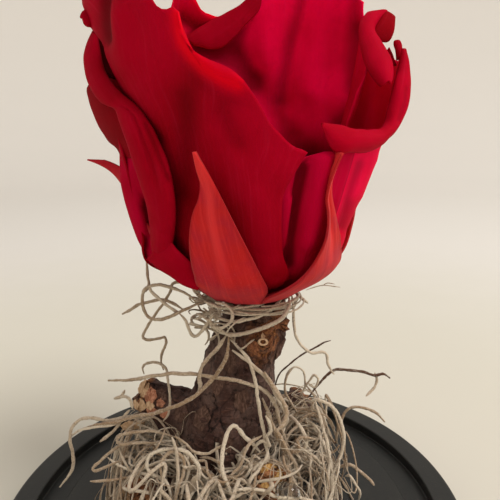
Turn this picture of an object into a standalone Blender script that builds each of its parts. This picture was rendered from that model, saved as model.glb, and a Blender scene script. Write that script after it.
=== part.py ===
"""Preserved rose on a root stump with dried moss, on a round base that has the seat of a glass dome.

Sizes in the tables are millimetres above the table top; MM turns them into metres. Azimuths are degrees
round the rose's own axis, 0 at the front (-Y) and growing towards +X.
"""

import math
from dataclasses import dataclass

import bmesh
import bpy
from mathutils import Vector, noise

MM = 0.001
GAP = 0.3  # clear space between two pieces that touch

# Base
BASE_RADIUS = 62.5
BASE_HEIGHT = 12.0
SEAT_OUTER_RADIUS = 55.5  # inside of the rim, where a dome of 110 mm stands
SEAT_INNER_RADIUS = 48.6
SEAT_DEPTH = 3.0
DISC_RAISE = 0.6  # how far the middle disc stands above the dome's seat
RIM_ROUND = 0.8
BASE_STEPS = 48
FLOOR = BASE_HEIGHT - SEAT_DEPTH + DISC_RAISE  # top of the middle disc

# Rose
ROSE_X, ROSE_Y = 4.0, 2.0
CUP_FOOT = 73.2  # where the petals leave the hip
PROFILE_STEP = 8.0  # height between two values of a ring's profile
PETAL_THICKNESS = 0.6


def spline(values, t):
    """A smooth curve through evenly spaced values, at t from 0 to 1."""
    spans = len(values) - 1
    place = min(max(t, 0.0), 1.0) * spans
    i = min(int(place), spans - 1)
    f = place - i
    before = values[i - 1] if i else 2 * values[0] - values[1]
    after = values[i + 2] if i + 2 <= spans else 2 * values[-1] - values[-2]
    a, b = values[i], values[i + 1]
    return a + 0.5 * f * (
        b - before + f * (2 * before - 5 * a + 4 * b - after + f * (3 * (a - b) + after - before))
    )


def material(name, colour, roughness, metallic=0.0):
    made = bpy.data.materials.new(name)
    made.use_nodes = True
    shader = made.node_tree.nodes["Principled BSDF"]
    shader.inputs["Base Color"].default_value = (*colour, 1.0)
    shader.inputs["Roughness"].default_value = roughness
    shader.inputs["Metallic"].default_value = metallic
    return made


def clear_scene():
    for obj in list(bpy.data.objects):
        bpy.data.objects.remove(obj)


def collection(name):
    made = bpy.data.collections.new(name)
    bpy.context.scene.collection.children.link(made)
    return made


def place(obj, name, home, finish):
    """Names an object, moves it to its collection and gives it its material."""
    obj.name = name
    for other in list(obj.users_collection):
        other.objects.unlink(obj)
    home.objects.link(obj)
    obj.data.materials.clear()
    obj.data.materials.append(finish)
    return obj


def shade(obj, angle=35):
    obj.data.shade_smooth()
    obj.data.set_sharp_from_angle(angle=math.radians(angle))
    return obj


def modifier(obj, kind, **settings):
    made = obj.modifiers.new(kind.title(), kind)
    for key, value in settings.items():
        setattr(made, key, value)
    return made


def turned(name, profile, steps):
    """A solid of revolution about the Z axis from (radius, height) points that run down its outer side."""
    mesh = bpy.data.meshes.new(name)
    verts = [(r * MM, 0, z * MM) for r, z in profile]
    mesh.from_pydata(verts, [(i, i + 1) for i in range(len(verts) - 1)], [])
    obj = bpy.data.objects.new(name, mesh)
    bpy.context.scene.collection.objects.link(obj)
    modifier(obj, "SCREW", steps=steps, render_steps=steps, use_merge_vertices=True, merge_threshold=1e-5)
    return obj


def arc(centre_r, centre_z, radius, start, end, count):
    """Points of a circular arc in the (radius, height) plane, angles in degrees from the radius direction."""
    angles = [math.radians(start + (end - start) * i / count) for i in range(count + 1)]
    return [(centre_r + radius * math.cos(a), centre_z + radius * math.sin(a)) for a in angles]


def make_base(home):
    """The round base: a rim, the dome's seat just inside it, and the slightly raised disc in the middle."""
    seat = BASE_HEIGHT - SEAT_DEPTH
    rim_edge = BASE_RADIUS - RIM_ROUND
    profile = [
        (0, FLOOR),
        (SEAT_INNER_RADIUS - 0.5, FLOOR),
        (SEAT_INNER_RADIUS, seat),
        (SEAT_OUTER_RADIUS, seat),
        (SEAT_OUTER_RADIUS, BASE_HEIGHT - 0.4),
        (SEAT_OUTER_RADIUS + 0.4, BASE_HEIGHT),
        *arc(rim_edge, BASE_HEIGHT - RIM_ROUND, RIM_ROUND, 90, 0, 2),
        (BASE_RADIUS, 1.0),
        (BASE_RADIUS - 1.0, 0),
        (0, 0),
    ]
    obj = turned("base_plate", profile, BASE_STEPS)
    return shade(place(obj, "base_plate", home, material("black_lacquer", (0.035, 0.035, 0.034), 0.55)))


def triangulate(obj):
    """Splits every face into triangles, so that moved vertices leave no bent faces."""
    bm = bmesh.new()
    bm.from_mesh(obj.data)
    bmesh.ops.triangulate(bm, faces=bm.faces)
    bm.to_mesh(obj.data)
    bm.free()


def tube(name, points, radii, sides, cyclic=False):
    """A closed tube along points, with a radius at each, as a mesh object."""
    curve = bpy.data.curves.new(name, "CURVE")
    curve.dimensions = "3D"
    curve.bevel_depth = MM
    curve.bevel_resolution = (sides - 4) // 2
    curve.use_fill_caps = True
    path = curve.splines.new("POLY")
    path.points.add(len(points) - 1)
    path.use_cyclic_u = cyclic
    for knot, place_mm, radius in zip(path.points, points, radii):
        knot.co = (*[c * MM for c in place_mm], 1)
        knot.radius = radius
    guide = bpy.data.objects.new(name, curve)
    bpy.context.scene.collection.objects.link(guide)
    solid = bpy.data.meshes.new_from_object(guide.evaluated_get(bpy.context.evaluated_depsgraph_get()))
    bpy.data.objects.remove(guide)
    bm = bmesh.new()
    bm.from_mesh(solid)
    bmesh.ops.remove_doubles(bm, verts=bm.verts, dist=1e-6)
    bmesh.ops.recalc_face_normals(bm, faces=bm.faces)
    bmesh.ops.triangulate(bm, faces=bm.faces)
    bm.to_mesh(solid)
    bm.free()
    obj = bpy.data.objects.new(name, solid)
    bpy.context.scene.collection.objects.link(obj)
    return obj


def smooth_path(knots, count):
    """count points, and their radii, on a smooth curve through (x, y, z, radius) knots."""
    columns = list(zip(*knots))
    rows = [[spline(column, i / (count - 1)) for column in columns] for i in range(count)]
    return [row[:3] for row in rows], [row[3] for row in rows]


def roughen(obj, size, depth, stretch=1.0, seed=0.0):
    """Moves each vertex along its normal by smooth noise with lumps of about size, stretched along Z."""
    moved = []
    for vertex in obj.data.vertices:
        p = vertex.co / (size * MM)
        value = noise.noise(Vector((p.x + seed, p.y - seed, p.z / stretch + 3 * seed)))
        moved.append(vertex.co + vertex.normal * value * depth * MM)
    for vertex, co in zip(obj.data.vertices, moved):
        vertex.co = co


def grown(obj, distance, cutters):
    """A copy of a solid, bigger all round by distance, to cut its neighbours with."""
    copy = bpy.data.objects.new(obj.name + "_cutter", obj.data.copy())
    cutters.objects.link(copy)
    copy.hide_render = True
    copy.display_type = "WIRE"
    for vertex in copy.data.vertices:
        vertex.co += vertex.normal * distance * MM
    return copy


def box_cutter(name, low, high, cutters):
    bpy.ops.mesh.primitive_cube_add(size=1)
    box = bpy.context.object
    box.name = name
    for vertex in box.data.vertices:
        vertex.co = [(a if c < 0 else b) * MM for c, a, b in zip(vertex.co, low, high)]
    for other in list(box.users_collection):
        other.objects.unlink(box)
    cutters.objects.link(box)
    box.hide_render = True
    box.display_type = "WIRE"
    return box


def cut(obj, *tools):
    for tool in tools:
        modifier(obj, "BOOLEAN", operation="DIFFERENCE", object=tool, solver="EXACT")
    return obj


# The stump: each limb is (x, y, z, radius) along its middle, from the foot or the free end inwards.
TRUNK = (
    (-3.5, -3.0, 7.0, 16.5),
    (-3.2, -2.5, 17.0, 14.6),
    (-3.0, -1.8, 28.0, 12.6),
    (-1.8, -1.0, 39.0, 10.8),
    (0.4, -0.2, 46.0, 9.9),
    (2.6, 0.4, 52.5, 10.3),
    (4.2, 0.8, 58.5, 10.0),
    (5.2, 1.4, 63.5, 8.9),
    (5.8, 2.0, 71.2, 7.4),
)
TRUNK_TOP = 69.8
LIMBS = {
    "stump_left_fork": (
        (-25.5, 4.5, 41.0, 4.6), (-21.5, 4.0, 39.0, 5.4), (-15.0, 2.5, 35.5, 7.0), (-7.0, 0.0, 30.0, 9.0),
    ),
    "stump_front_left_root": (
        (-23.0, -15.5, 23.5, 4.8), (-19.5, -13.0, 21.5, 5.6), (-12.0, -8.0, 18.0, 7.5),
        (-4.0, -4.0, 15.0, 9.0),
    ),
    "stump_front_right_root": (
        (9.8, -18.5, 30.0, 4.2), (8.2, -15.0, 27.5, 5.0), (5.0, -9.0, 23.0, 6.5), (1.0, -3.0, 19.0, 8.0),
    ),
    "stump_back_right_root": (
        (21.0, 21.0, 30.0, 4.8), (17.5, 17.5, 27.0, 5.8), (10.0, 10.0, 21.0, 7.5), (1.0, 1.0, 16.0, 9.0),
    ),
}
LIMB_SIDES = 12
TRUNK_RINGS = 17
LIMB_RINGS = 8
BARK_SIZE = 7.0
BARK_DEPTH = 1.5


def limb(name, knots, rings, seed, sides=LIMB_SIDES):
    points, radii = smooth_path(knots, rings)
    obj = tube(name, points, radii, sides)
    roughen(obj, BARK_SIZE, BARK_DEPTH, stretch=1.6, seed=seed)
    return obj


def make_stump(home, cutters, floor_box):
    """The trunk and the four limbs that fork from it, each limb cut back to the trunk's surface."""
    bark = material("bark", (0.075, 0.045, 0.035), 0.85)
    trunk = limb("stump_trunk", TRUNK, TRUNK_RINGS, 1.3, sides=16)
    trunk_tool = grown(trunk, GAP, cutters)
    top_box = box_cutter("trunk_top_cutter", (-30, -30, TRUNK_TOP), (30, 30, TRUNK_TOP + 20), cutters)
    cut(trunk, floor_box, top_box)
    shade(place(trunk, "stump_trunk", home, bark), 60)
    limb_tools = []
    for i, (name, knots) in enumerate(LIMBS.items()):
        obj = limb(name, knots, LIMB_RINGS, 2.1 + i)
        limb_tools.append(grown(obj, GAP, cutters))
        cut(obj, trunk_tool, floor_box)
        shade(place(obj, name, home, bark), 60)
    return trunk_tool, limb_tools


# Rings of petals: the radius of each at CUP_FOOT and at every PROFILE_STEP above it.
GUARD = (9.8, 24.6, 26.8, 28.5, 29.9, 31.4, 33.0, 34.0, 34.0, 34.0)
LEFT = (8.5, 19.4, 23.2, 25.8, 27.8, 29.4, 30.9, 33.0, 33.6, 33.4)
OUTER = (8.5, 21.2, 25.0, 27.8, 30.1, 32.0, 33.6, 34.5, 34.3, 33.4)
MIDDLE = (6.0, 14.5, 18.7, 21.5, 23.8, 25.8, 28.0, 29.8, 30.6, 30.4)
INNER = (4.6, 10.0, 13.5, 16.0, 18.2, 20.0, 21.6, 23.0, 24.0, 24.0)
HEART = (3.2, 6.6, 8.6, 10.0, 11.0, 11.6, 11.8, 11.8, 11.8, 11.8)
CORE = (1.6, 3.0, 3.9, 4.4, 4.6, 4.6, 4.6, 4.6, 4.6, 4.6)
CALYX = (11.4, 22.4, 26.5, 29.3, 31.6, 33.5, 35.1, 36.0, 35.8, 35.0)


def ring_radius(profile, height):
    return spline(profile, (height - CUP_FOOT) / (PROFILE_STEP * (len(profile) - 1)))


@dataclass
class Petal:
    """left and right: azimuths of its edges from foot to rim; rim, lean and roll, from left to right: the
    rim's height, how far it leans out of its ring, and the angle by which it curls outwards over roll_length,
    after which it hangs straight for hang. side_roll and side_length, from foot to rim: the same curl of its
    right edge. outset: how far it lies outside its ring. tilt: how much further out its right edge lies, and
    further in its left edge, so that each petal can lie over the next. ruffle and phase: depth and place of
    the waves in its upper part. columns and rows: its grid."""

    name: str
    ring: tuple
    left: tuple
    right: tuple
    rim: tuple
    lean: tuple = (0.0, 0.0)
    roll: tuple = (0.0, 0.0)
    roll_length: float = 5.0
    hang: float = 0.0
    side_roll: tuple = ()
    side_length: tuple = ()
    outset: float = 0.0
    tilt: float = 0.9
    ruffle: float = 0.5
    phase: float = 0.0
    columns: int = 6
    rows: int = 5


PETALS = (
    Petal(
        "petal_outer_front", OUTER,
        left=(-40, -62, -76, -86, -94), right=(11, 22, 21.5, 16.5, 14.5, 13.5, 13.5, 16, 19.5),
        rim=(137, 139, 140.5, 141, 140, 138, 136, 132, 126.3, 121.8, 118.6, 110.6, 107.4),
        lean=(4.0, 3.0, 1.0, 0, 0), roll=(60, 60, 50, 60, 130, 130, 25),
        outset=-1.6, tilt=2.0, ruffle=0.3, phase=0.1, columns=12, rows=7,
    ),
    Petal(
        "petal_outer_left", LEFT,
        left=(-118, -128, -134, -136, -135), right=(-62, -57, -47, -38.5, -35, -35, -44.5, -55.5, -66),
        rim=(126, 129, 130.5, 131.5, 132), lean=(0.3, 0.3, 0.3, 0.5, 0.8), roll=(10, 60, 80, 55, 35),
        side_roll=(20, 90, 190, 210, 210, 212, 212, 200, 190),
        side_length=(0.5, 2, 6, 9.5, 9.5, 10, 10, 7.5, 2.0),
        tilt=1.6, ruffle=0.2, phase=0.4, columns=7, rows=7,
    ),
    Petal(
        "petal_outer_front_right", OUTER,
        left=(24, 13, 4, 0, -1), right=(36, 40, 38, 36, 35), rim=(103, 106, 107.8, 108, 106.5),
        outset=-0.4, tilt=1.3, ruffle=0.1, columns=4,
    ),
    Petal(
        "petal_outer_right", OUTER,
        left=(50, 38, 31, 27, 24), right=(104, 128, 138, 142, 142),
        rim=(111, 110.8, 110.8, 116, 130, 133, 131.5, 130, 129), lean=(0, 0, -0.4, -1.0, -0.6, 0, 0),
        roll=(170, 200, 200, 75, 10, 10, 15, 30, 50), roll_length=8.4,
        outset=0.9, tilt=1.7, ruffle=0.2, columns=10,
    ),
    Petal(
        "petal_outer_back", OUTER,
        left=(150, 138, 130, 127, 128), right=(204, 222, 230, 233, 232),
        rim=(122, 135, 139, 138, 131), roll=(25, 50, 110, 90, 60),
        outset=0.2, tilt=0.8, phase=0.6, columns=7,
    ),
    Petal(
        "petal_guard_left", GUARD,
        left=(-108, -118, -122, -122, -120), right=(-84, -64, -51, -46, -55),
        rim=(116.5, 119, 120, 119.5, 117.5), roll=(190, 190, 190, 190, 190), roll_length=5.4, hang=9.5,
        tilt=1.2, ruffle=0.2,
    ),
    Petal(
        "petal_middle_right", MIDDLE,
        left=(50, 60, 70, 74, 74), right=(92, 104, 108, 110, 110),
        rim=(120, 126, 131, 134.5, 136), roll=(100, 180, 190, 190, 150), roll_length=7.4,
        outset=-2.5, ruffle=0.2,
    ),
    Petal(
        "petal_middle_back_right", MIDDLE,
        left=(98, 108, 111, 113, 114), right=(180, 206, 222, 227, 228),
        rim=(143, 147, 150, 151, 150.5, 148.5, 144, 137, 129),
        tilt=-0.9, ruffle=0.6, phase=0.8, columns=9,
    ),
    Petal(
        "petal_middle_back_left", MIDDLE,
        left=(200, 190, 180, 176, 176), right=(230, 240, 248, 252, 252),
        rim=(147, 146, 144.0, 145.8, 147, 144.5, 141.0, 138), roll=(40, 60, 40), roll_length=2.5,
        outset=1.3, tilt=-0.9, ruffle=0.3, phase=0.1, columns=7, rows=7,
    ),
    Petal(
        "petal_middle_left", MIDDLE,
        left=(-118, -122, -130, -132, -128), right=(-76, -68, -58, -54, -58),
        rim=(134, 139, 141, 139, 133), roll=(30, 40, 30), roll_length=3.0,
        outset=-1.1, ruffle=0.3, phase=0.5,
    ),
    Petal(
        "petal_middle_front", MIDDLE,
        left=(-60, -66, -72, -74, -70), right=(24, 44, 50, 48, 40),
        rim=(126, 126, 116, 104, 99), tilt=-0.9, ruffle=0.2, phase=0.7,
    ),
    Petal(
        "petal_inner_back_right", INNER,
        left=(101, 88, 84, 84, 88), right=(177, 194, 198, 198, 194),
        rim=(100, 103, 105, 108, 112), phase=0.2, rows=4,
    ),
    Petal(
        "petal_inner_back_left", INNER,
        left=(191, 180, 176, 176, 180), right=(257, 272, 276, 276, 272),
        rim=(112, 118, 122, 124, 122), phase=0.9, rows=4,
    ),
    Petal(
        "petal_inner_front", INNER,
        left=(-89, -100, -104, -104, -100), right=(-19, -6, -2, -2, -6),
        rim=(125, 126, 120, 112, 105), phase=0.4, rows=4,
    ),
    Petal(
        "petal_inner_right", INNER,
        left=(-7, -18, -22, -22, -18), right=(87, 100, 104, 104, 100),
        rim=(104, 102, 100, 100, 102), phase=0.6, rows=4,
    ),
    Petal(
        "petal_heart_front", HEART, left=(-58, -78, -80), right=(38, 58, 60), rim=(104, 102, 98),
        lean=(-1.2, -1.2), ruffle=0.3, rows=3,
    ),
    Petal(
        "petal_heart_right", HEART, left=(62, 44, 42), right=(146, 166, 168), rim=(97, 98, 100),
        lean=(-1.2, -1.2), ruffle=0.3, phase=0.3, rows=3,
    ),
    Petal(
        "petal_heart_left", HEART, left=(170, 152, 150), right=(274, 294, 296), rim=(102, 108, 106),
        lean=(-1.2, -1.2), ruffle=0.3, phase=0.6, rows=3,
    ),
    Petal(
        "petal_core_front", CORE, left=(-75, -108, -110), right=(65, 98, 100), rim=(101, 102, 99),
        lean=(-0.5, -0.5), ruffle=0.1, rows=3,
    ),
    Petal(
        "petal_core_back", CORE, left=(115, 82, 80), right=(235, 266, 268), rim=(99, 103, 102),
        lean=(-0.5, -0.5), ruffle=0.1, phase=0.5, rows=3,
    ),
)
ROLL_ROWS = 4
SIDE_COLUMNS = 5
FOOT_BUNCHING = 1.9  # how closely a petal's rows lie near its foot, where the cup is round
FULL_ROLL = 90.0  # a rim that curls by less than this curls over a shorter length
HIP_SLOPE = 0.28


def hip_height(radius):
    """Top of the hip, a low dome that the petals stand on."""
    return CUP_FOOT + 0.9 - HIP_SLOPE * (radius - 4.0)


def on_axis(azimuth, radius, height):
    """The point at an azimuth in degrees and a radius from the rose's axis."""
    angle = math.radians(azimuth)
    return Vector((ROSE_X + radius * math.sin(angle), ROSE_Y - radius * math.cos(angle), height))


def petal_sheet(petal, u, v):
    """A point of the petal's middle surface before any roll: u from its left edge to its right, v from foot
    to rim."""
    foot = hip_height(petal.ring[0]) + GAP + PETAL_THICKNESS / 2
    height = foot + (spline(petal.rim, u) - foot) * v
    radius = ring_radius(petal.ring, height)
    radius += petal.tilt * (2 * u - 1) * min(1.0, 8 * v) + petal.outset * min(1.0, 3 * v)
    radius += spline(petal.lean, u) * v**8
    radius += petal.ruffle * v**4 * math.sin(math.pi * u) * math.sin(2 * math.pi * (1.5 * u + petal.phase))
    return on_axis(spline(petal.left, v) * (1 - u) + spline(petal.right, v) * u, radius, height)


def outward(across, along):
    """The surface's normal on the outside of the flower, from its directions to the right and up."""
    return across.cross(along).normalized()


def curl(start, forward, normal, length, angle, run):
    """Where a sheet that runs on from start has got to after run: it curls by angle over length, and then
    hangs straight."""
    angle = max(angle, 0.01)
    bend = angle * min(run / length, 1.0)
    radius = length / angle
    along = forward * math.cos(bend) + normal * math.sin(bend)
    turned_to = start + forward * radius * math.sin(bend) + normal * radius * (1 - math.cos(bend))
    return turned_to + along * max(run - length, 0.0)


def petal_point(petal, u, v):
    """petal_sheet with its rolled rim, for v from 1 to 2."""
    if v <= 1:
        return petal_sheet(petal, u, v)
    step = 0.03
    rim = petal_sheet(petal, u, 1)
    along = (rim - petal_sheet(petal, u, 1 - step)).normalized()
    across = petal_sheet(petal, min(u + step, 1), 1) - petal_sheet(petal, max(u - step, 0), 1)
    angle = math.radians(spline(petal.roll, u))
    length = petal.roll_length * min(1.0, 0.1 + angle / math.radians(FULL_ROLL))
    return curl(rim, along, outward(across, along), length, angle, (length + petal.hang) * (v - 1))


def petal_edge_point(petal, u, v):
    """petal_point with its rolled right edge, for u from 1 to 2."""
    if u <= 1:
        return petal_point(petal, u, v)
    step = 0.03
    edge = petal_point(petal, 1, v)
    across = (edge - petal_point(petal, 1 - step, v)).normalized()
    along = petal_point(petal, 1, min(v + step, 2)) - petal_point(petal, 1, max(v - step, 0))
    length = spline(petal.side_length, min(v, 1.0))
    angle = math.radians(spline(petal.side_roll, min(v, 1.0)))
    return curl(edge, across, outward(across, along), length, angle, length * (u - 1))


def grid_values(inner, extra, bunching=1.0):
    """Places from 0 to 1, closer together near 0, and then on to 2 if there is an extra strip."""
    values = [(i / inner) ** bunching for i in range(inner + 1)]
    return values + [1 + (i + 1) / extra for i in range(extra)]


def sheet_object(name, us, vs, point, thickness):
    """A grid bent to point(u, v) and given its thickness."""
    bpy.ops.mesh.primitive_grid_add(x_subdivisions=len(us) - 1, y_subdivisions=len(vs) - 1, size=2)
    obj = bpy.context.object
    obj.name = name
    for vertex in obj.data.vertices:
        i = round((vertex.co.x + 1) / 2 * (len(us) - 1))
        j = round((vertex.co.y + 1) / 2 * (len(vs) - 1))
        vertex.co = point(us[i], vs[j]) * MM
    modifier(obj, "SOLIDIFY", thickness=thickness * MM, offset=0)
    return obj


def make_petal(petal, home, finish):
    us = grid_values(petal.columns, SIDE_COLUMNS if petal.side_roll else 0)
    roll_rows = ROLL_ROWS if max(petal.roll) > 80 else min(1, int(max(petal.roll)))
    vs = grid_values(petal.rows, roll_rows, FOOT_BUNCHING)
    obj = sheet_object(petal.name, us, vs, lambda u, v: petal_edge_point(petal, u, v), PETAL_THICKNESS)
    return shade(place(obj, petal.name, home, finish), 60)


@dataclass
class Sepal:
    """azimuth: of its middle, from foot to tip; width: its greatest; tip: its height; outset: how far it lies
    outside the calyx's ring; stand_off: how much further out the tip bends."""

    name: str
    azimuth: tuple
    width: float
    tip: float
    outset: float = 0.0
    stand_off: float = 1.0


SEPALS = (
    Sepal("sepal_front", (-4, -10.5, -14, -15.5), 16.5, 108.5, 0.0, 1.5),
    Sepal("sepal_front_right", (47, 42, 37, 32.5), 17.0, 107.0, 1.2, 0.6),
    Sepal("sepal_left", (-118, -114, -106, -93), 13.0, 103.5, 3.2, 1.8),
    Sepal("sepal_back_right", (112, 112, 114, 116), 14.0, 104.0, 2.2, 2.0),
    Sepal("sepal_back", (184, 184, 186, 188), 14.0, 106.0, -0.4, 2.5),
)
SEPAL_THICKNESS = 0.7
SEPAL_FOOT = 72.2
SEPAL_WIDEST = 0.26  # share of its length at which a sepal is widest


def sepal_half_width(v):
    """Share of the greatest half width: broad low down and drawn out to a point."""
    if v < SEPAL_WIDEST:
        return 0.5 + 0.5 * math.sin(math.pi / 2 * v / SEPAL_WIDEST)
    return 0.04 + 0.96 * ((1 - v) / (1 - SEPAL_WIDEST)) ** 1.15


def sepal_point(sepal, u, v):
    height = SEPAL_FOOT + (sepal.tip - SEPAL_FOOT) * v
    radius = ring_radius(CALYX, height + CUP_FOOT - SEPAL_FOOT)
    radius += sepal.outset * min(1.0, 6 * v) + sepal.stand_off * v**5 + 0.6 * (2 * u - 1) ** 2 * (1 - v)
    half = sepal_half_width(v) * sepal.width / 2
    return on_axis(spline(sepal.azimuth, v) + math.degrees((2 * u - 1) * half / radius), radius, height)


def make_hip(home, finish):
    """The hip: a low cup between the stump and the petals, domed on top."""
    profile = [
        (0, hip_height(1.5)),
        (4.0, hip_height(4.0)),
        (10.4, hip_height(10.4)),
        (9.2, 71.2),
        (6.5, 70.2),
        (0, 70.2),
    ]
    obj = turned("rose_hip", profile, 24)
    obj.location = (ROSE_X * MM, ROSE_Y * MM, 0)
    return shade(place(obj, "rose_hip", home, finish))


def make_rose(home):
    red = material("petal_red", (0.40, 0.004, 0.018), 0.6)
    orange = material("sepal_red", (0.50, 0.035, 0.02), 0.6)
    make_hip(home, orange)
    for petal in PETALS:
        make_petal(petal, home, red)
    for sepal in SEPALS:
        us, vs = grid_values(4, 0), grid_values(8, 0, 1.3)
        obj = sheet_object(sepal.name, us, vs, lambda u, v: sepal_point(sepal, u, v), SEPAL_THICKNESS)
        shade(place(obj, sepal.name, home, orange), 60)


# Moss: a heap round the stump's foot, a ring round its neck, and strands that stand out of both.
HEAP_X, HEAP_Y = -1.0, 0.0
HEAP_RING = 21.0  # radius of the heap's crest
# Half widths of the heap, and its heights above the disc, every 45 degrees from the front
HEAP_WIDTHS = (12.0, 12.0, 11.5, 12.0, 12.0, 13.0, 14.0, 13.0, 12.0)
HEAP_HEIGHTS = (23.0, 28.0, 32.0, 25.0, 18.0, 21.0, 27.0, 25.0, 23.0)
NECK_CENTRE = (5.0, 2.0, 67.8)
NECK_RING = 12.6
NECK_THICKNESS = 2.4
# Each strand is (x, y, z) along it, from the moss to the tip.
STRANDS = {
    "moss_strand_left": (
        (-22.0, -4.0, 30.0), (-24.0, -6.0, 39.5), (-28.5, -7.0, 39.5), (-33.2, -8.0, 37.8),
        (-38.0, -9.0, 37.9), (-40.9, -10.0, 35.7), (-41.8, -10.0, 31.4), (-41.4, -10.0, 26.9),
        (-42.7, -10.0, 23.4), (-45.4, -10.0, 21.9),
    ),
    "moss_strand_across": (
        (15.5, -3.0, 32.0), (14.7, -7.0, 38.5), (13.1, -10.0, 43.6), (10.4, -11.5, 48.9),
        (5.5, -12.0, 52.4), (-0.6, -12.5, 54.2), (-7.8, -12.5, 55.3), (-16.4, -12.0, 55.1),
        (-22.7, -11.0, 53.5), (-31.2, -9.0, 51.9),
    ),
    "moss_strand_neck_left": (
        (-6.8, -6.0, 66.5), (-11.3, -9.0, 72.5), (-16.0, -9.0, 75.4), (-19.8, -8.0, 77.5),
        (-21.4, -7.0, 76.0), (-19.8, -7.0, 73.0), (-16.4, -8.0, 70.3), (-12.7, -9.5, 67.6),
        (-11.0, -10.5, 64.3), (-10.4, -9.5, 61.3),
    ),
    "moss_strand_neck_drop": (
        (-7.1, -2.0, 66.0), (-13.5, -2.5, 66.5), (-21.5, -2.0, 65.1), (-23.8, -1.0, 61.0), (-20.2, 0.0, 59.0),
        (-18.8, 0.0, 55.9), (-20.1, 1.0, 49.7),
    ),
    "moss_strand_neck_tip": ((-7.6, 0.5, 67.5), (-14.9, 0.5, 69.6), (-22.8, 0.5, 69.1), (-29.1, 0.5, 66.0)),
    "moss_strand_twig": (
        (20.0, 4.0, 36.0), (23.3, 5.0, 43.1), (27.9, 5.0, 47.7), (32.1, 5.0, 47.4), (37.0, 5.0, 46.6),
        (43.4, 5.0, 45.2),
    ),
    "moss_strand_neck_right": (
        (16.5, -2.0, 66.0), (16.6, -3.0, 62.8), (17.4, -3.0, 60.6), (20.4, -2.0, 58.5), (23.8, -2.0, 59.1),
        (25.2, -2.0, 56.3), (26.3, -2.0, 53.4),
    ),
    "moss_strand_stem": (
        (12.0, 9.0, 32.0), (12.4, 9.0, 41.5), (15.5, 8.5, 47.9), (21.0, 8.0, 52.6), (26.5, 7.0, 56.3),
    ),
    "moss_strand_right": (
        (26.0, 2.0, 28.0), (29.9, 2.0, 35.2), (32.0, 2.0, 37.7), (35.3, 2.0, 38.0), (38.7, 1.0, 37.1),
        (41.7, 0.0, 34.3),
    ),
    "moss_strand_low_right": (
        (26.5, -4.0, 18.0), (30.5, -5.0, 23.2), (33.7, -6.0, 25.2), (36.7, -7.0, 23.8), (39.4, -8.0, 19.4),
    ),
    "moss_strand_right_loop": (
        (19.0, -1.0, 38.0), (22.8, -3.0, 43.5), (26.7, -5.0, 43.5), (29.8, -7.0, 36.6), (31.5, -8.0, 31.4),
        (31.5, -9.0, 25.5), (28.0, -7.0, 17.0),
    ),
    "moss_strand_front_loop": (
        (1.0, -20.0, 27.0), (0.5, -24.5, 36.0), (-1.5, -25.0, 41.0), (-4.0, -25.5, 38.0),
        (-5.5, -26.0, 31.0), (-5.0, -22.0, 24.0),
    ),
}
STRAND_RADIUS = 0.6
STRAND_TIP_RADIUS = 0.36
STRAND_POINTS = 13
GLUE_CENTRE = (13.0, -23.0, 30.5)
GLUE_RADIUS = 2.8


def around(values, azimuth):
    """Value at an azimuth in degrees of a table that goes once round from the front."""
    return spline(values, (azimuth % 360) / 360)


def make_heap(home, finish, tools, cutters):
    """The heap of moss: a ring with a crest that rises and falls, and the stump cut out of it."""
    bpy.ops.mesh.primitive_torus_add(
        major_segments=28, minor_segments=8, major_radius=HEAP_RING, minor_radius=1
    )
    heap = bpy.context.object
    for vertex in heap.data.vertices:
        x, y, z = vertex.co
        ring = math.hypot(x, y)
        azimuth = math.degrees(math.atan2(x, -y))
        radius = HEAP_RING + (ring - HEAP_RING) * around(HEAP_WIDTHS, azimuth)
        vertex.co = (
            (HEAP_X + radius * x / ring) * MM,
            (HEAP_Y + radius * y / ring) * MM,
            (FLOOR + z * around(HEAP_HEIGHTS, azimuth)) * MM,
        )
    triangulate(heap)
    roughen(heap, 8.0, 3.6, seed=5.0)
    heap_tool = grown(heap, GAP, cutters)
    cut(heap, *tools)
    shade(place(heap, "moss_heap", home, finish), 60)
    return heap_tool


def make_neck(home, finish, trunk_tool, cutters):
    angles = [2 * math.pi * i / 20 for i in range(20)]
    x, y, z = NECK_CENTRE
    ring = [(NECK_RING * math.cos(a), NECK_RING * math.sin(a), 0.5 * math.sin(2 * a)) for a in angles]
    points = [(x + dx, y + dy, z + dz) for dx, dy, dz in ring]
    neck = tube("moss_neck", points, [NECK_THICKNESS] * len(points), 8, cyclic=True)
    roughen(neck, 4.0, 0.8, seed=9.0)
    neck_tool = grown(neck, GAP, cutters)
    cut(neck, trunk_tool)
    shade(place(neck, "moss_neck", home, finish), 60)
    return neck_tool


def make_glue(home, heap_tool):
    """A bead of clear glue on the front of the moss."""
    centre = [c * MM for c in GLUE_CENTRE]
    bpy.ops.mesh.primitive_ico_sphere_add(subdivisions=3, radius=GLUE_RADIUS * MM, location=centre)
    bead = bpy.context.object
    cut(bead, heap_tool)
    shade(place(bead, "glue_bead", home, material("clear_glue", (0.75, 0.72, 0.65), 0.1)), 60)


def make_moss(home, cutters, trunk_tool, limb_tools, floor_box):
    dry = material("dried_moss", (0.42, 0.34, 0.25), 0.9)
    heap_tool = make_heap(home, dry, [floor_box, trunk_tool, *limb_tools], cutters)
    neck_tool = make_neck(home, dry, trunk_tool, cutters)
    for name, route in STRANDS.items():
        knots = [(*point, STRAND_RADIUS) for point in route[:-1]]
        knots.append((*route[-1], STRAND_TIP_RADIUS))
        points, radii = smooth_path(knots, STRAND_POINTS)
        strand = tube(name, points, radii, 4)
        cut(strand, neck_tool if "neck" in name else heap_tool)
        shade(place(strand, name, home, dry), 60)
    make_glue(home, heap_tool)


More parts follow.
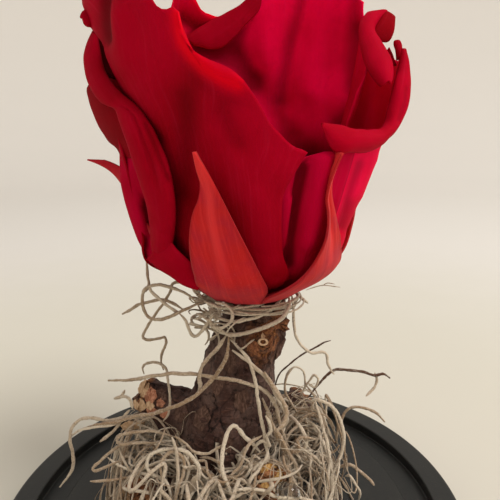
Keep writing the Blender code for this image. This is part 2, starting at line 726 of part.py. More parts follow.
def main():
    clear_scene()
    home = collection("preserved_rose_on_display_base")
    cutters = collection("cutters")
    floor_box = box_cutter("floor_cutter", (-70, -70, -60), (70, 70, FLOOR + GAP), cutters)
    make_base(home)
    trunk_tool, limb_tools = make_stump(home, cutters, floor_box)
    make_rose(home)
    make_moss(home, cutters, trunk_tool, limb_tools, floor_box)


main()
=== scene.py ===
"""The looks of a preserved rose that stands on a root stump, in dried moss, on a round black base.

Lengths in the tables are millimetres in the frame's axes, and MM turns them into metres. Azimuths are degrees
round the rose's own axis, 0 at the front and growing towards +X.
"""

import math
import random
from dataclasses import dataclass

import bpy
import numpy as np
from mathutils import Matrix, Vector, noise


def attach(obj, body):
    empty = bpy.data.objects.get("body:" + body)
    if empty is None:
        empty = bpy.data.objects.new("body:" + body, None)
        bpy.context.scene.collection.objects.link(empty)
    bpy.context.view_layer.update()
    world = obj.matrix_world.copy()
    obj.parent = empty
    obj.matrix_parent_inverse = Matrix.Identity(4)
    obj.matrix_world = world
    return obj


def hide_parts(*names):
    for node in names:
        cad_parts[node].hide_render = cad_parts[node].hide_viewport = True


MM = 0.001

# Camera: one photo of 500 x 500 pixels, taken from a little above the rose
PHOTO_SIZE = 500
FOCAL = 510.0  # in pixels of that photo
CAMERA_PLACE = (4.253, -125.736, 112.564)
CAMERA_PITCH = 13.159  # degrees below level

# Base
BASE_RADIUS = 62.5
BASE_HEIGHT = 12.0
SEAT_OUTER_RADIUS = 55.5
SEAT_INNER_RADIUS = 48.6
SEAT_HEIGHT = 9.0
DISC_TOP = 9.6

# Rose
ROSE_X, ROSE_Y = 4.0, 2.0
CUP_FOOT = 73.2
PROFILE_STEP = 8.0
HIP_RISE, HIP_RADIUS, HIP_SLOPE = 0.9, 4.0, 0.28  # mm above CUP_FOOT at a radius, and the fall outwards from there
PETAL_THICKNESS, SEPAL_THICKNESS = 0.45, 0.5
INNER_SHADE_TOP, INNER_SHADE_FADE = 119.0, 13.0  # the height below which painted shade darkens the rose's inside, and over how many mm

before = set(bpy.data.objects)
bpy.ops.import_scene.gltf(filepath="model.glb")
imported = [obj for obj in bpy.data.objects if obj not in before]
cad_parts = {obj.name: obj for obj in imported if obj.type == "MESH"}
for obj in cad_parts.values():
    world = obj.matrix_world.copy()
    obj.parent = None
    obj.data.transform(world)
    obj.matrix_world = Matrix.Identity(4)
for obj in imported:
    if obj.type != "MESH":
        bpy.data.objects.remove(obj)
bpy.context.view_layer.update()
noise.seed_set(7)  # without this, noise_vector takes new offsets in every run


def spline(values, t):
    """A smooth curve through evenly spaced values, at t from 0 to 1."""
    values = np.asarray(values, float)
    spans = len(values) - 1
    place = np.clip(t, 0.0, 1.0) * spans
    i = np.minimum(place.astype(int) if isinstance(place, np.ndarray) else int(place), spans - 1)
    f = place - i
    padded = np.concatenate([[2 * values[0] - values[1]], values, [2 * values[-1] - values[-2]]])
    before, a, b, after = padded[i], padded[i + 1], padded[i + 2], padded[i + 3]
    return a + 0.5 * f * (
        b - before + f * (2 * before - 5 * a + 4 * b - after + f * (3 * (a - b) + after - before))
    )


def along_table(values, t):
    """spline for evenly spaced values; for pairs (place, value), straight lines between the places."""
    if isinstance(values[0], tuple):
        places, heights = zip(*values)
        return np.interp(t, places, heights)
    return spline(values, t)


def curve_at(places, t):
    """Points of a smooth curve through places, at each t."""
    return np.stack([spline(column, t) for column in np.transpose(places)], axis=-1)


def run_of(points):
    """Length of the bent line through points."""
    return np.linalg.norm(np.diff(points, axis=0), axis=1).sum()


def bell(away, width):
    """1 where away is 0, and next to nothing two widths from there."""
    return np.exp(-((away / width) ** 2))


def unit(vectors):
    return vectors / np.maximum(np.linalg.norm(vectors, axis=-1, keepdims=True), 1e-9)


def srgb(red, green, blue):
    """A colour as a screen shows it, 0 to 255, as the shader's linear values."""
    return tuple((c / 255) ** 2.2 for c in (red, green, blue)) + (1.0,)


# Objects

def deselect():
    bpy.ops.object.select_all(action="DESELECT")


def pick(obj):
    deselect()
    obj.select_set(True)
    bpy.context.view_layer.objects.active = obj


def settle(obj):
    """Moves an object's place, turn and scale into its mesh."""
    pick(obj)
    bpy.ops.object.transform_apply(location=True, rotation=True, scale=True)


def apply_modifier(obj, kind, **settings):
    pick(obj)
    made = obj.modifiers.new(kind.title(), kind)
    for key, value in settings.items():
        setattr(made, key, value)
    bpy.ops.object.modifier_apply(modifier=made.name)


def linked(name, data):
    obj = bpy.data.objects.new(name, data)
    bpy.context.scene.collection.objects.link(obj)
    return obj


def mesh_object(name, verts, faces):
    mesh = bpy.data.meshes.new(name)
    mesh.from_pydata(verts, [], faces)
    return linked(name, mesh)


def extrude_up(rise):
    bpy.ops.mesh.extrude_region_move(TRANSFORM_OT_translate={"value": (0, 0, rise)})


def point_attribute(obj, name, values):
    layer = obj.data.attributes.new(name, "FLOAT", "POINT")
    layer.data.foreach_set("value", np.asarray(values, np.float32))


def dress(obj, name, finish, slot, *nodes):
    """Names a piece, gives it its finish, and lets it ride in place of CAD nodes."""
    obj.name = name
    obj.data.materials.clear()
    obj.data.materials.append(finish)
    obj.data.shade_smooth()
    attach(obj, "root")
    if nodes:
        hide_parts(*nodes)
    return obj


def outward(obj):
    pick(obj)
    bpy.ops.object.mode_set(mode="EDIT")
    bpy.ops.mesh.select_all(action="SELECT")
    bpy.ops.mesh.normals_make_consistent(inside=False)
    bpy.ops.object.mode_set(mode="OBJECT")


def shifted(obj, offset):
    """Moves each vertex by what offset(place in mm, normal) says, in mm."""
    moved = [v.co + offset(v.co / MM, v.normal) * MM for v in obj.data.vertices]
    for vertex, co in zip(obj.data.vertices, moved):
        vertex.co = co


def grain(point, size, seed=0.0, stretch=(1.0, 1.0, 1.0)):
    """Smooth noise between about -1 and 1, with lumps of that size in mm."""
    return noise.noise(Vector([c / (size * s) + seed for c, s in zip(point, stretch)]))


# Materials

class Value:
    """A shader socket that takes part in sums."""

    def __init__(self, shader, socket):
        self.shader = shader
        self.socket = socket

    def sum(self, operation, a, b):
        return self.shader.node("ShaderNodeMath", {"operation": operation}, a, b)

    def __add__(self, other):
        return self.sum("ADD", self, other)

    def __sub__(self, other):
        return self.sum("SUBTRACT", self, other)

    def __rsub__(self, other):
        return self.sum("SUBTRACT", other, self)

    def __mul__(self, other):
        return self.sum("MULTIPLY", self, other)

    __radd__ = __add__
    __rmul__ = __mul__


class Shader:
    """One material, whose nodes all come from node(). tint: its colour so far."""

    def __init__(self, name, tint, **constants):
        self.tint = tint
        self.material = bpy.data.materials.new(name)
        self.material.use_nodes = True
        self.tree = self.material.node_tree
        self.surface = self.tree.nodes["Principled BSDF"]
        self.set(**constants)

    def node(self, kind, settings, *inputs, output=None, **named):
        made = self.tree.nodes.new(kind)
        for key, value in settings.items():
            setattr(made, key, value)
        for socket, value in zip([s for s in made.inputs if s.enabled], inputs):
            self.feed(socket, value)
        for key, value in named.items():
            self.feed(made.inputs[key.replace("_", " ")], value)
        outputs = {s.name: s for s in reversed(made.outputs) if s.enabled}
        return Value(self, outputs[output] if output else list(outputs.values())[-1])

    def feed(self, socket, value):
        if isinstance(value, Value):
            self.tree.links.new(value.socket, socket)
        else:
            socket.default_value = value

    def set(self, **named):
        for key, value in named.items():
            self.feed(self.surface.inputs[key.replace("_", " ")], value)

    def place(self):
        """Where a point lies in the piece, in mm."""
        here = self.node("ShaderNodeTexCoord", {}, output="Object")
        return self.stretched(here, 1 / MM, 1 / MM, 1 / MM)

    def stretched(self, vector, x, y, z):
        return self.node("ShaderNodeVectorMath", {"operation": "MULTIPLY"}, vector, (x, y, z))

    def joined(self, x, y, z):
        return self.node("ShaderNodeCombineXYZ", {}, x, y, z)

    def read(self, name):
        return self.node("ShaderNodeAttribute", {"attribute_name": name}, output="Fac")

    def noise(self, vector, size, detail=3.0, roughness=0.55, distortion=0.0):
        """Noise from 0 to 1 with lumps of that size, in the vector's own units."""
        return self.node(
            "ShaderNodeTexNoise", {}, Vector=vector, Scale=1 / size, Detail=detail, Roughness=roughness,
            Distortion=distortion,
        )

    def cells(self, vector, size, feature="F1"):
        return self.node("ShaderNodeTexVoronoi", {"feature": feature}, Vector=vector, Scale=1 / size)

    def band(self, value, low, high):
        """0 where the value is below low, 1 above high, and smooth between."""
        return self.node(
            "ShaderNodeMapRange", {"interpolation_type": "SMOOTHSTEP"},
            Value=value, From_Min=low, From_Max=high, To_Min=0.0, To_Max=1.0,
        )

    def mix(self, factor, a, b):
        return self.node("ShaderNodeMix", {"data_type": "RGBA"}, factor, a, b)

    def height(self, vector):
        return self.node("ShaderNodeSeparateXYZ", {}, vector, output="Z")

    def blend(self, colour, share):
        self.tint = self.mix(share, self.tint, colour)

    def lay(self, colour, value, low, high, share=1.0):
        """Blends a colour into the tint, up to that share, as the value runs from low to high."""
        self.blend(colour, self.band(value, low, high) * share)

    def done(self, roughness, *reliefs):
        """The material with its tint. reliefs: heights from 0 to 1 and their depths in mm, the finest last."""
        bumps = {}
        for height, depth in reliefs:
            bump = self.node("ShaderNodeBump", {}, Strength=1.0, Distance=depth * MM, Height=height, **bumps)
            bumps = {"Normal": bump}
        self.set(Base_Color=self.tint, Roughness=roughness, **bumps)
        return self.material


def petal_finish(name, deep, bright, veined=0.1, heart=None):
    """Soft matt petal: a mottled tint that deepens towards its foot, faint veins that fan out from there, and a
    short nap. Painted shade darkens the valleys of its folds, painted highlights lighten their ridges, and a painted
    glow stands for light shining through its thin margins. heart: the colour of the painted shade deep inside the
    rose."""
    s = Shader(name, deep, Specular_IOR_Level=0.03)
    s.set(Subsurface_Weight=0.1, Subsurface_Scale=0.003, Subsurface_Radius=(1.0, 0.08, 0.08))
    here = s.place()
    across, along, share, fold = map(s.read, ("across", "along", "share", "fold"))
    veins = s.noise(s.joined(across, along * 0.05, 0.0), 1.3, detail=4.0, roughness=0.6, distortion=0.2)
    clouds, blots, nap = s.noise(here, 12.0, detail=2.0), s.noise(here, 3.0), s.noise(here, 0.22, detail=2.0)
    s.lay(bright, clouds * 0.7 + share * 0.45, 0.3, 0.9)
    s.lay(deep, blots, 0.45, 0.75, 0.22)
    s.lay(srgb(236, 60, 96), veins, 0.5, 0.8, veined)
    # painted shade along the valleys of the folds, and painted highlight along their ridges
    s.lay(srgb(72, 0, 6), fold, 0.0, 1.1, 0.75)
    s.lay(bright, fold, 0.0, -1.1, 0.5)
    # painted shade deep inside the rose, fading out upwards
    if heart:
        s.lay(heart, s.height(here) + clouds * 4.0, INNER_SHADE_TOP, INNER_SHADE_TOP - INNER_SHADE_FADE, 0.9)
    # painted light where light shines through a thin margin
    s.blend(srgb(240, 0, 32), s.read("glow") * 0.8)
    return s.done(0.66 + nap * 0.2, (veins, 0.05 + 0.5 * veined), (nap, 0.035))


def sepal_finish(name, body, glow):
    """Dyed sepal: a dull red body streaked along its length, with a bright streak beside its rib."""
    s = Shader(name, body, Sheen_Weight=0.1, Sheen_Tint=(1.0, 0.4, 0.35, 1.0), Specular_IOR_Level=0.2)
    s.set(Subsurface_Weight=0.06, Subsurface_Scale=0.002, Subsurface_Radius=(1.0, 0.2, 0.12))
    here = s.place()
    across, along, share, edge = map(s.read, ("across", "along", "share", "edge"))
    streaks = s.noise(s.joined(across, along * 0.06, 0.0), 0.8, detail=4.0, distortion=0.3)
    specks, clouds = s.noise(here, 0.4), s.noise(here, 6.0, detail=2.0)
    from_rib = s.node("ShaderNodeMath", {"operation": "ABSOLUTE"}, across + streaks * 1.2 - 0.6)
    s.lay(srgb(196, 28, 30), clouds + share * 0.3, 0.4, 0.8)
    s.lay(glow, streaks, 0.45, 0.75, 0.4)
    s.blend(glow, s.band(from_rib, 1.6, 0.1) * s.band(share, 0.1, 0.5) * 0.65)
    s.blend(srgb(206, 88, 92), s.band(specks, 0.55, 0.75) * s.band(share, 0.7, 0.1) * 0.3)
    s.lay(srgb(140, 10, 22), edge, 0.82, 1.0, 0.5)
    return s.done(0.58 + specks * 0.25, (streaks, 0.2), (specks, 0.07))


def bark_finish():
    """Dry dark bark with fine cracks, red-brown where it is rubbed, and orange wood round the knot and at the
    breaks."""
    s = Shader("bark", srgb(68, 44, 38), Specular_IOR_Level=0.3)
    here = s.place()
    grey, pores = s.noise(here, 9.0, detail=4.0), s.noise(here, 0.35)
    wrinkles = s.noise(s.stretched(here, 0.5, 0.5, 1.9), 1.3, detail=5.0, roughness=0.65, distortion=0.8)
    streaks = s.noise(s.stretched(here, 1.4, 1.4, 0.3), 1.0, detail=4.0, roughness=0.6, distortion=0.5)
    cracks = s.cells(s.stretched(here, 1.0, 1.0, 0.6), 3.4, "DISTANCE_TO_EDGE")
    lines = 1 - s.band(cracks + wrinkles * 0.08, 0.03, 0.09)
    s.lay(srgb(108, 86, 78), grey, 0.35, 0.7)
    s.lay(srgb(134, 92, 74), wrinkles, 0.5, 0.75, 0.5)
    s.lay(srgb(34, 24, 23), streaks, 0.5, 0.72, 0.45)
    s.lay(srgb(164, 142, 128), pores, 0.6, 0.8, 0.35)
    scar = s.mix(s.band(wrinkles * 0.6 + streaks * 0.4, 0.38, 0.66), srgb(84, 42, 26), srgb(196, 128, 74))
    s.blend(scar, s.read("knot"))
    torn = s.mix(s.band(pores * 0.4 + wrinkles * 0.6, 0.35, 0.7), srgb(120, 70, 44), srgb(196, 140, 96))
    s.blend(torn, s.read("wood"))
    s.lay(srgb(22, 14, 12), s.read("hollow") + lines * 0.5, 0.3, 1.0, 0.85)
    return s.done(0.66 + pores * 0.25, (wrinkles - lines * 0.5, 0.7), (streaks, 0.35), (pores, 0.16))


def flake_finish(name, body, pale, dark):
    """Torn plates of bark and wood, streaked and stained along their grain."""
    s = Shader(name, body, Specular_IOR_Level=0.25)
    here = s.place()
    fibres = s.noise(s.stretched(here, 1.0, 1.0, 0.35), 0.6, detail=4.0, roughness=0.65, distortion=0.6)
    s.lay(pale, fibres, 0.35, 0.7)
    s.lay(dark, s.noise(here, 2.4), 0.52, 0.74, 0.6)
    return s.done(0.7 + fibres * 0.2, (fibres, 0.3))


def moss_finish():
    """Dry moss: fibrous strands from pale grey to tan, a few brown, with painted shade where they lie deep in the heap,
    and a short fuzz.
    """
    s = Shader("dried_moss", srgb(222, 206, 182), Sheen_Weight=0.3, Sheen_Roughness=0.5, Specular_IOR_Level=0.2)
    here, tone = s.place(), s.read("tone")
    fibres, fuzz = s.noise(here, 0.5, detail=4.0, roughness=0.7), s.noise(here, 0.16, detail=2.0)
    s.lay(srgb(160, 132, 102), s.noise(here, 5.0, detail=2.0) * 0.5 + tone * 0.6, 0.25, 0.8)
    s.lay(srgb(90, 60, 40), tone, 0.84, 0.95)
    s.lay(srgb(236, 226, 208), fibres, 0.5, 0.72, 0.5)
    s.lay(srgb(96, 74, 56), fibres, 0.48, 0.26, 0.7)
    # painted shade on strands that lie deep in the heap
    s.blend(srgb(48, 36, 28), s.read("buried"))
    return s.done(0.85 + fuzz * 0.1, (fibres, 0.35), (fuzz, 0.16))


def lacquer_finish():
    """Satin black paint with a faint orange peel, some dust and rubbed marks."""
    s = Shader("black_lacquer", srgb(29, 30, 28), Specular_IOR_Level=0.45, IOR=1.5)
    here = s.place()
    marks = s.noise(s.stretched(here, 1.0, 0.25, 1.0), 6.0, detail=4.0, distortion=1.5)
    dust = s.band(s.noise(here, 0.35, detail=1.0), 0.7, 0.78)
    s.lay(srgb(39, 39, 36), marks, 0.4, 0.8)
    s.blend(srgb(120, 114, 104), dust * 0.35)
    return s.done(0.42 + marks * 0.16 + dust * 0.2, (s.noise(here, 0.9, detail=2.0), 0.03))


def glue_finish():
    """Clear dried glue."""
    s = Shader("clear_glue", (0.95, 0.93, 0.88, 1.0), Transmission_Weight=1.0, IOR=1.48)
    return s.done(0.06, (s.noise(s.place(), 1.6), 0.15))


def floor_finish():
    """Pale cloth, a little darker near the base than far away."""
    s = Shader("pale_floor", srgb(216, 212, 199), Specular_IOR_Level=0.1)
    here = s.place()
    away = s.node("ShaderNodeVectorMath", {"operation": "LENGTH"}, here, output="Value")
    s.lay(srgb(228, 224, 218), away + s.noise(here, 40.0, detail=2.0) * 60.0, 150.0, 480.0)
    return s.done(0.9)


# Rose: rings of petals, the radius of each at CUP_FOOT and at every PROFILE_STEP above it

GUARD = (9.8, 24.6, 26.8, 28.5, 29.9, 31.4, 33.0, 34.0, 34.0, 34.0)
LEFT = (8.5, 19.4, 23.2, 25.8, 27.8, 29.4, 30.9, 33.0, 33.6, 33.4)
OUTER = (8.5, 21.2, 25.0, 27.8, 30.1, 32.0, 33.6, 34.5, 34.3, 33.4)
MIDDLE = (6.0, 14.5, 18.7, 21.5, 23.8, 25.8, 28.0, 29.8, 30.6, 30.4)
INNER = (4.6, 10.0, 13.5, 16.0, 18.2, 20.0, 21.6, 23.0, 24.0, 24.0)
HEART = (3.2, 6.6, 8.6, 10.0, 11.0, 11.6, 11.8, 11.8, 11.8, 11.8)
CORE = (1.6, 3.0, 3.9, 4.4, 4.6, 4.6, 4.6, 4.6, 4.6, 4.6)
CALYX = (11.4, 22.4, 26.5, 29.3, 31.6, 33.5, 35.1, 36.0, 35.8, 35.0)


def ring_radius(profile, height):
    return spline(profile, (height - CUP_FOOT) / (PROFILE_STEP * (len(profile) - 1)))


@dataclass
class Petal:
    """left and right: azimuths of its edges from foot to rim; rim, lean and roll, from left to right: the
    rim's height, how far it leans out of its ring, and the angle by which it curls outwards over roll_length.
    outset: how far it lies outside its ring. tilt: how much further out its right edge lies, and further in its
    left edge. flare: how suddenly its rim leans out. ruffle and phase: depth and place of the waves in its upper
    part."""

    name: str
    ring: tuple
    left: tuple
    right: tuple
    rim: tuple
    lean: tuple = (0.0, 0.0)
    roll: tuple = (0.0, 0.0)
    roll_length: tuple = (5.0, 5.0)
    outset: float = 0.0
    tilt: float = 0.9
    flare: float = 8.0
    ruffle: float = 0.5
    phase: float = 0.0
    spacing: float = 0.9

    @property
    def inside(self):
        return self.ring in (MIDDLE, INNER, HEART, CORE)


RING_VALUES = {HEART: {"lean": (-1.2, -1.2), "ruffle": 0.3}, CORE: {"lean": (-0.5, -0.5), "ruffle": 0.1}}
PETALS = (
    Petal(
        "outer_front", OUTER,
        left=(-74, -72, -66, -61, -60, -61, -68, -71, -93), right=(11, 22, 21.5, 16.5, 14.5, 13.5, 13.5, 17, 21),
        rim=(
            (0, 139), (0.1, 141), (0.25, 142), (0.4, 140.5), (0.5, 138), (0.545, 135.5), (0.556, 134.2),
            (0.58, 133.4), (0.6, 133.5), (0.613, 134), (0.622, 133.6), (0.629, 132.2), (0.636, 129.8),
            (0.655, 127.4), (0.686, 125.6), (0.713, 124.6), (0.741, 123.8), (0.773, 122.9), (0.8, 121.6),
            (0.821, 119.6), (0.843, 117.4), (0.875, 114), (0.927, 110.9), (0.959, 109.6), (0.986, 109), (1, 108.6),
        ),
        lean=(7.7, 5.6, 3.2, 1.3, 0, 0, 0, 0, 0),
        outset=-1.6, tilt=2.0, ruffle=0.3, phase=0.1,
    ),
    Petal(
        "outer_left", LEFT,
        left=(-118, -128, -134, -136, -135), right=(-62, -56, -47, -39, -37, -41, -53, -70, -82),
        rim=(126, 129, 130.5, 131, 130.5),
        tilt=1.6, ruffle=0.2, phase=0.4,
    ),
    Petal(
        "outer_front_right", OUTER,
        left=(24, 13, 4, 0, -1), right=(36, 40, 40, 41, 42),
        rim=(102, 103.5, 105, 106.3, 107.4, 108.3, 108.8, 108.9, 108.6),
        outset=-0.4, tilt=1.3, ruffle=0.1,
    ),
    Petal(
        "outer_right", OUTER,
        left=((0, 50), (0.25, 44), (0.5, 41), (0.75, 39), (0.88, 36.5), (0.94, 35), (1, 32)),
        right=(104, 128, 138, 142, 142),
        rim=(
            (0, 111.2), (0.125, 110.9), (0.25, 110.2), (0.312, 110.6), (0.375, 113.2), (0.41, 117.5), (0.44, 122),
            (0.47, 127.6), (0.495, 131.2), (0.515, 131.2), (0.53, 129.2), (0.56, 128.9), (0.625, 130), (0.75, 131),
            (0.875, 130), (1, 129),
        ),
        lean=(0, 0, -0.4, 1.2, 1.9, 1.2, 0.4, 0, 0), flare=4.0, outset=0.1, tilt=1.7, ruffle=0.2,
    ),
    Petal(
        "outer_back", OUTER,
        left=(150, 138, 130, 127, 128), right=(204, 222, 230, 233, 232),
        rim=(122, 135, 139, 138, 131), roll=(25, 50, 110, 90, 60), roll_length=(2, 4, 5, 5, 3),
        outset=0.2, tilt=0.8, phase=0.6,
    ),
    Petal(
        "guard_left", GUARD,
        left=(-108, -118, -122, -122, -120), right=(-84, -66, -62, -62, -66),
        rim=(116.5, 119, 120, 119.5, 118.5), outset=-0.6, tilt=1.2, ruffle=0.2,
    ),
    Petal(
        "middle_right", MIDDLE,
        left=(50, 60, 70, 74, 74), right=(92, 104, 108, 110, 110),
        rim=(121, 126, 131, 134.5, 136), outset=-1.5, ruffle=0.2,
    ),
    Petal(
        "middle_back_right", MIDDLE,
        left=(98, 108, 111, 113, 114), right=(180, 206, 222, 227, 228),
        rim=(143, 147, 150, 151, 150.2, 145.6, 141.4, 136, 129), roll=(20, 30), roll_length=(1.5, 1.5),
        tilt=-0.9, ruffle=0.6, phase=0.8,
    ),
    Petal(
        "middle_back_left", MIDDLE,
        left=(200, 190, 180, 176, 176), right=(230, 240, 248, 252, 252),
        rim=(
            (0, 143), (0.2, 143.8), (0.31, 143.9), (0.395, 144.3), (0.44, 145.2), (0.475, 147.2), (0.55, 149),
            (0.62, 148.8), (0.66, 148), (0.688, 146.5), (0.7, 143), (0.8, 141.4), (0.86, 140), (1, 137.5),
        ),
        lean=(-1, -3.5, -4.5, -3), outset=1.3, tilt=-0.9, ruffle=0.3, phase=0.1,
    ),
    Petal(
        "middle_left", MIDDLE,
        left=(-118, -122, -130, -132, -128), right=(-76, -68, -58, -54, -58),
        rim=(134, 139, 141, 139, 133), roll=(30, 40, 30), roll_length=(1.5, 2, 1.5),
        outset=-1.1, ruffle=0.3, phase=0.5,
    ),
    Petal(
        "middle_front", MIDDLE,
        left=(-60, -66, -72, -74, -70), right=(24, 44, 50, 48, 40),
        rim=(126, 126, 116, 104, 99), tilt=-0.9, ruffle=0.2, phase=0.7,
    ),
) + tuple(
    # name, ring, left, right, rim and phase, and what each ring has in common
    Petal(*row, spacing=1.4, **RING_VALUES.get(row[1], {}), phase=phase)
    for *row, phase in (
        ("inner_back_right", INNER, (101, 88, 84, 84, 88), (177, 194, 198, 198, 194), (100, 103, 105, 108, 112), 0.2),
        ("inner_back_left", INNER, (191, 180, 176, 176, 180), (257, 272, 276, 276, 272), (112, 118, 122, 124, 122),
         0.9),
        ("inner_front", INNER, (-89, -100, -104, -104, -100), (-19, -6, -2, -2, -6), (125, 126, 120, 112, 105), 0.4),
        ("inner_right", INNER, (-7, -18, -22, -22, -18), (87, 100, 104, 104, 100), (104, 102, 100, 100, 102), 0.6),
        ("heart_front", HEART, (-58, -78, -80), (38, 58, 60), (104, 102, 98), 0.0),
        ("heart_right", HEART, (62, 44, 42), (146, 166, 168), (97, 98, 100), 0.3),
        ("heart_left", HEART, (170, 152, 150), (274, 294, 296), (102, 108, 106), 0.6),
        ("core_front", CORE, (-75, -108, -110), (65, 98, 100), (101, 102, 99), 0.0),
        ("core_back", CORE, (115, 82, 80), (235, 266, 268), (99, 103, 102), 0.5),
    )
)
FOOT_BUNCHING = 1.35
RIM_NICKS, NICK_SIZE = 0.3, 2.6  # height and length of the small unevenness of a rim
FOLD_SIZE, FOLD_DEPTH = 11.0, 0.75  # soft folds that run through all the petals alike
FOLDS_START, FOLDS_REACH = 80.0, 40.0  # the height where they set in, and over what rise they reach full depth
DENT_SIZE, DENT_DEPTH = 3.6, 0.14


def hip_height(radius):
    """Top of the hip, a low dome that the petals stand on."""
    return CUP_FOOT + HIP_RISE - HIP_SLOPE * (radius - HIP_RADIUS)


def on_axis(azimuth, radius, height):
    angle = np.radians(azimuth)
    return np.stack([ROSE_X + radius * np.sin(angle), ROSE_Y - radius * np.cos(angle), height], axis=-1)


def petal_rim(petal, u, v=1.0):
    """The rim's height; below it, at v, a height that follows the rim more and more smoothly."""
    reach = 0.15 * np.sqrt(np.maximum(1 - v, 0))
    return sum(along_table(petal.rim, np.clip(u + k * reach, 0, 1)) for k in (-1, -0.5, 0, 0.5, 1)) / 5


def petal_sheet(petal, u, v):
    """Points of the petal's middle surface before any roll: u from its left edge to its right, v from foot
    to rim."""
    foot = hip_height(petal.ring[0]) + 0.6
    height = foot + (petal_rim(petal, u, v) - foot) * v
    radius = ring_radius(petal.ring, height)
    radius = radius + petal.tilt * (2 * u - 1) * np.minimum(1.0, 8 * v) + petal.outset * np.minimum(1.0, 3 * v)
    radius = radius + spline(petal.lean, u) * v**petal.flare
    wave = np.sin(math.pi * u) * np.sin(2 * math.pi * (1.5 * u + petal.phase))
    radius = radius + petal.ruffle * v**4 * wave
    azimuth = along_table(petal.left, v) * (1 - u) + spline(petal.right, v) * u
    return on_axis(azimuth, radius, height)


def curl(start, forward, normal, length, angle, run):
    """Where a sheet that runs on from start has got to after run, when it curls by angle over length."""
    angle, length, run = (values[..., None] for values in (np.maximum(angle, 0.01), length, run))
    bend, radius = angle * (run / length), length / angle
    return start + forward * radius * np.sin(bend) + normal * radius * (1 - np.cos(bend))


STEP = 0.03  # share of a petal over which its directions are measured


def petal_point(petal, u, v):
    """petal_sheet with its rolled rim, for v from 1 to 2."""
    rim = petal_sheet(petal, u, np.ones_like(v))
    along = unit(rim - petal_sheet(petal, u, np.full_like(v, 1 - STEP)))
    across = petal_sheet(petal, np.minimum(u + STEP, 1), np.ones_like(v))
    across = across - petal_sheet(petal, np.maximum(u - STEP, 0), np.ones_like(v))
    angle = np.radians(along_table(petal.roll, u))
    length = along_table(petal.roll_length, u)
    run = length * np.maximum(v - 1, 0)
    rolled = curl(rim, along, unit(np.cross(across, along)), length, angle, run)
    return np.where((v <= 1)[..., None], petal_sheet(petal, u, np.minimum(v, 1)), rolled)


def folds(points, seed):
    """How far each point is moved out from the rose's axis: soft folds shared by all petals, and small dents."""
    shift = np.zeros(len(points))
    for i, (x, y, z) in enumerate(points):
        rise = min(max((z - FOLDS_START) / FOLDS_REACH, 0.0), 1.0)
        fold = noise.noise(Vector((x / FOLD_SIZE, y / FOLD_SIZE, z / (2.4 * FOLD_SIZE))))
        dent = noise.noise(Vector((x / DENT_SIZE + seed, y / DENT_SIZE, z / (1.8 * DENT_SIZE))))
        shift[i] = rise * (FOLD_DEPTH * fold + DENT_DEPTH * dent)
    return shift


def on_view(px, py, depth):
    """The point that the photo shows at a pixel, at a depth in mm along +Y."""
    pitch = math.radians(CAMERA_PITCH)
    x, y = (px - PHOTO_SIZE / 2) / FOCAL, (py - PHOTO_SIZE / 2) / FOCAL
    ray = (x, math.cos(pitch) - y * math.sin(pitch), -math.sin(pitch) - y * math.cos(pitch))
    reach = (depth - CAMERA_PLACE[1]) / ray[1]
    return tuple(c + reach * r for c, r in zip(CAMERA_PLACE, ray))


def seen_at(points):
    """The photo's pixels that show points given in mm."""
    pitch = math.radians(CAMERA_PITCH)
    away = points - np.array(CAMERA_PLACE)
    depth = away[:, 1] * math.cos(pitch) - away[:, 2] * math.sin(pitch)
    rise = away[:, 1] * math.sin(pitch) + away[:, 2] * math.cos(pitch)
    half = PHOTO_SIZE / 2
    return np.stack([half + FOCAL * away[:, 0] / depth, half - FOCAL * rise / depth], axis=1)


def to_line(places, line):
    """How far each place lies from a bent line."""
    line = np.asarray(line, float)
    nearest = np.full(len(places), np.inf)
    for a, b in zip(line[:-1], line[1:]):
        t = np.clip(((places - a) @ (b - a)) / ((b - a) @ (b - a)), 0, 1)
        nearest = np.minimum(nearest, np.linalg.norm(places - a - t[:, None] * (b - a), axis=1))
    return nearest


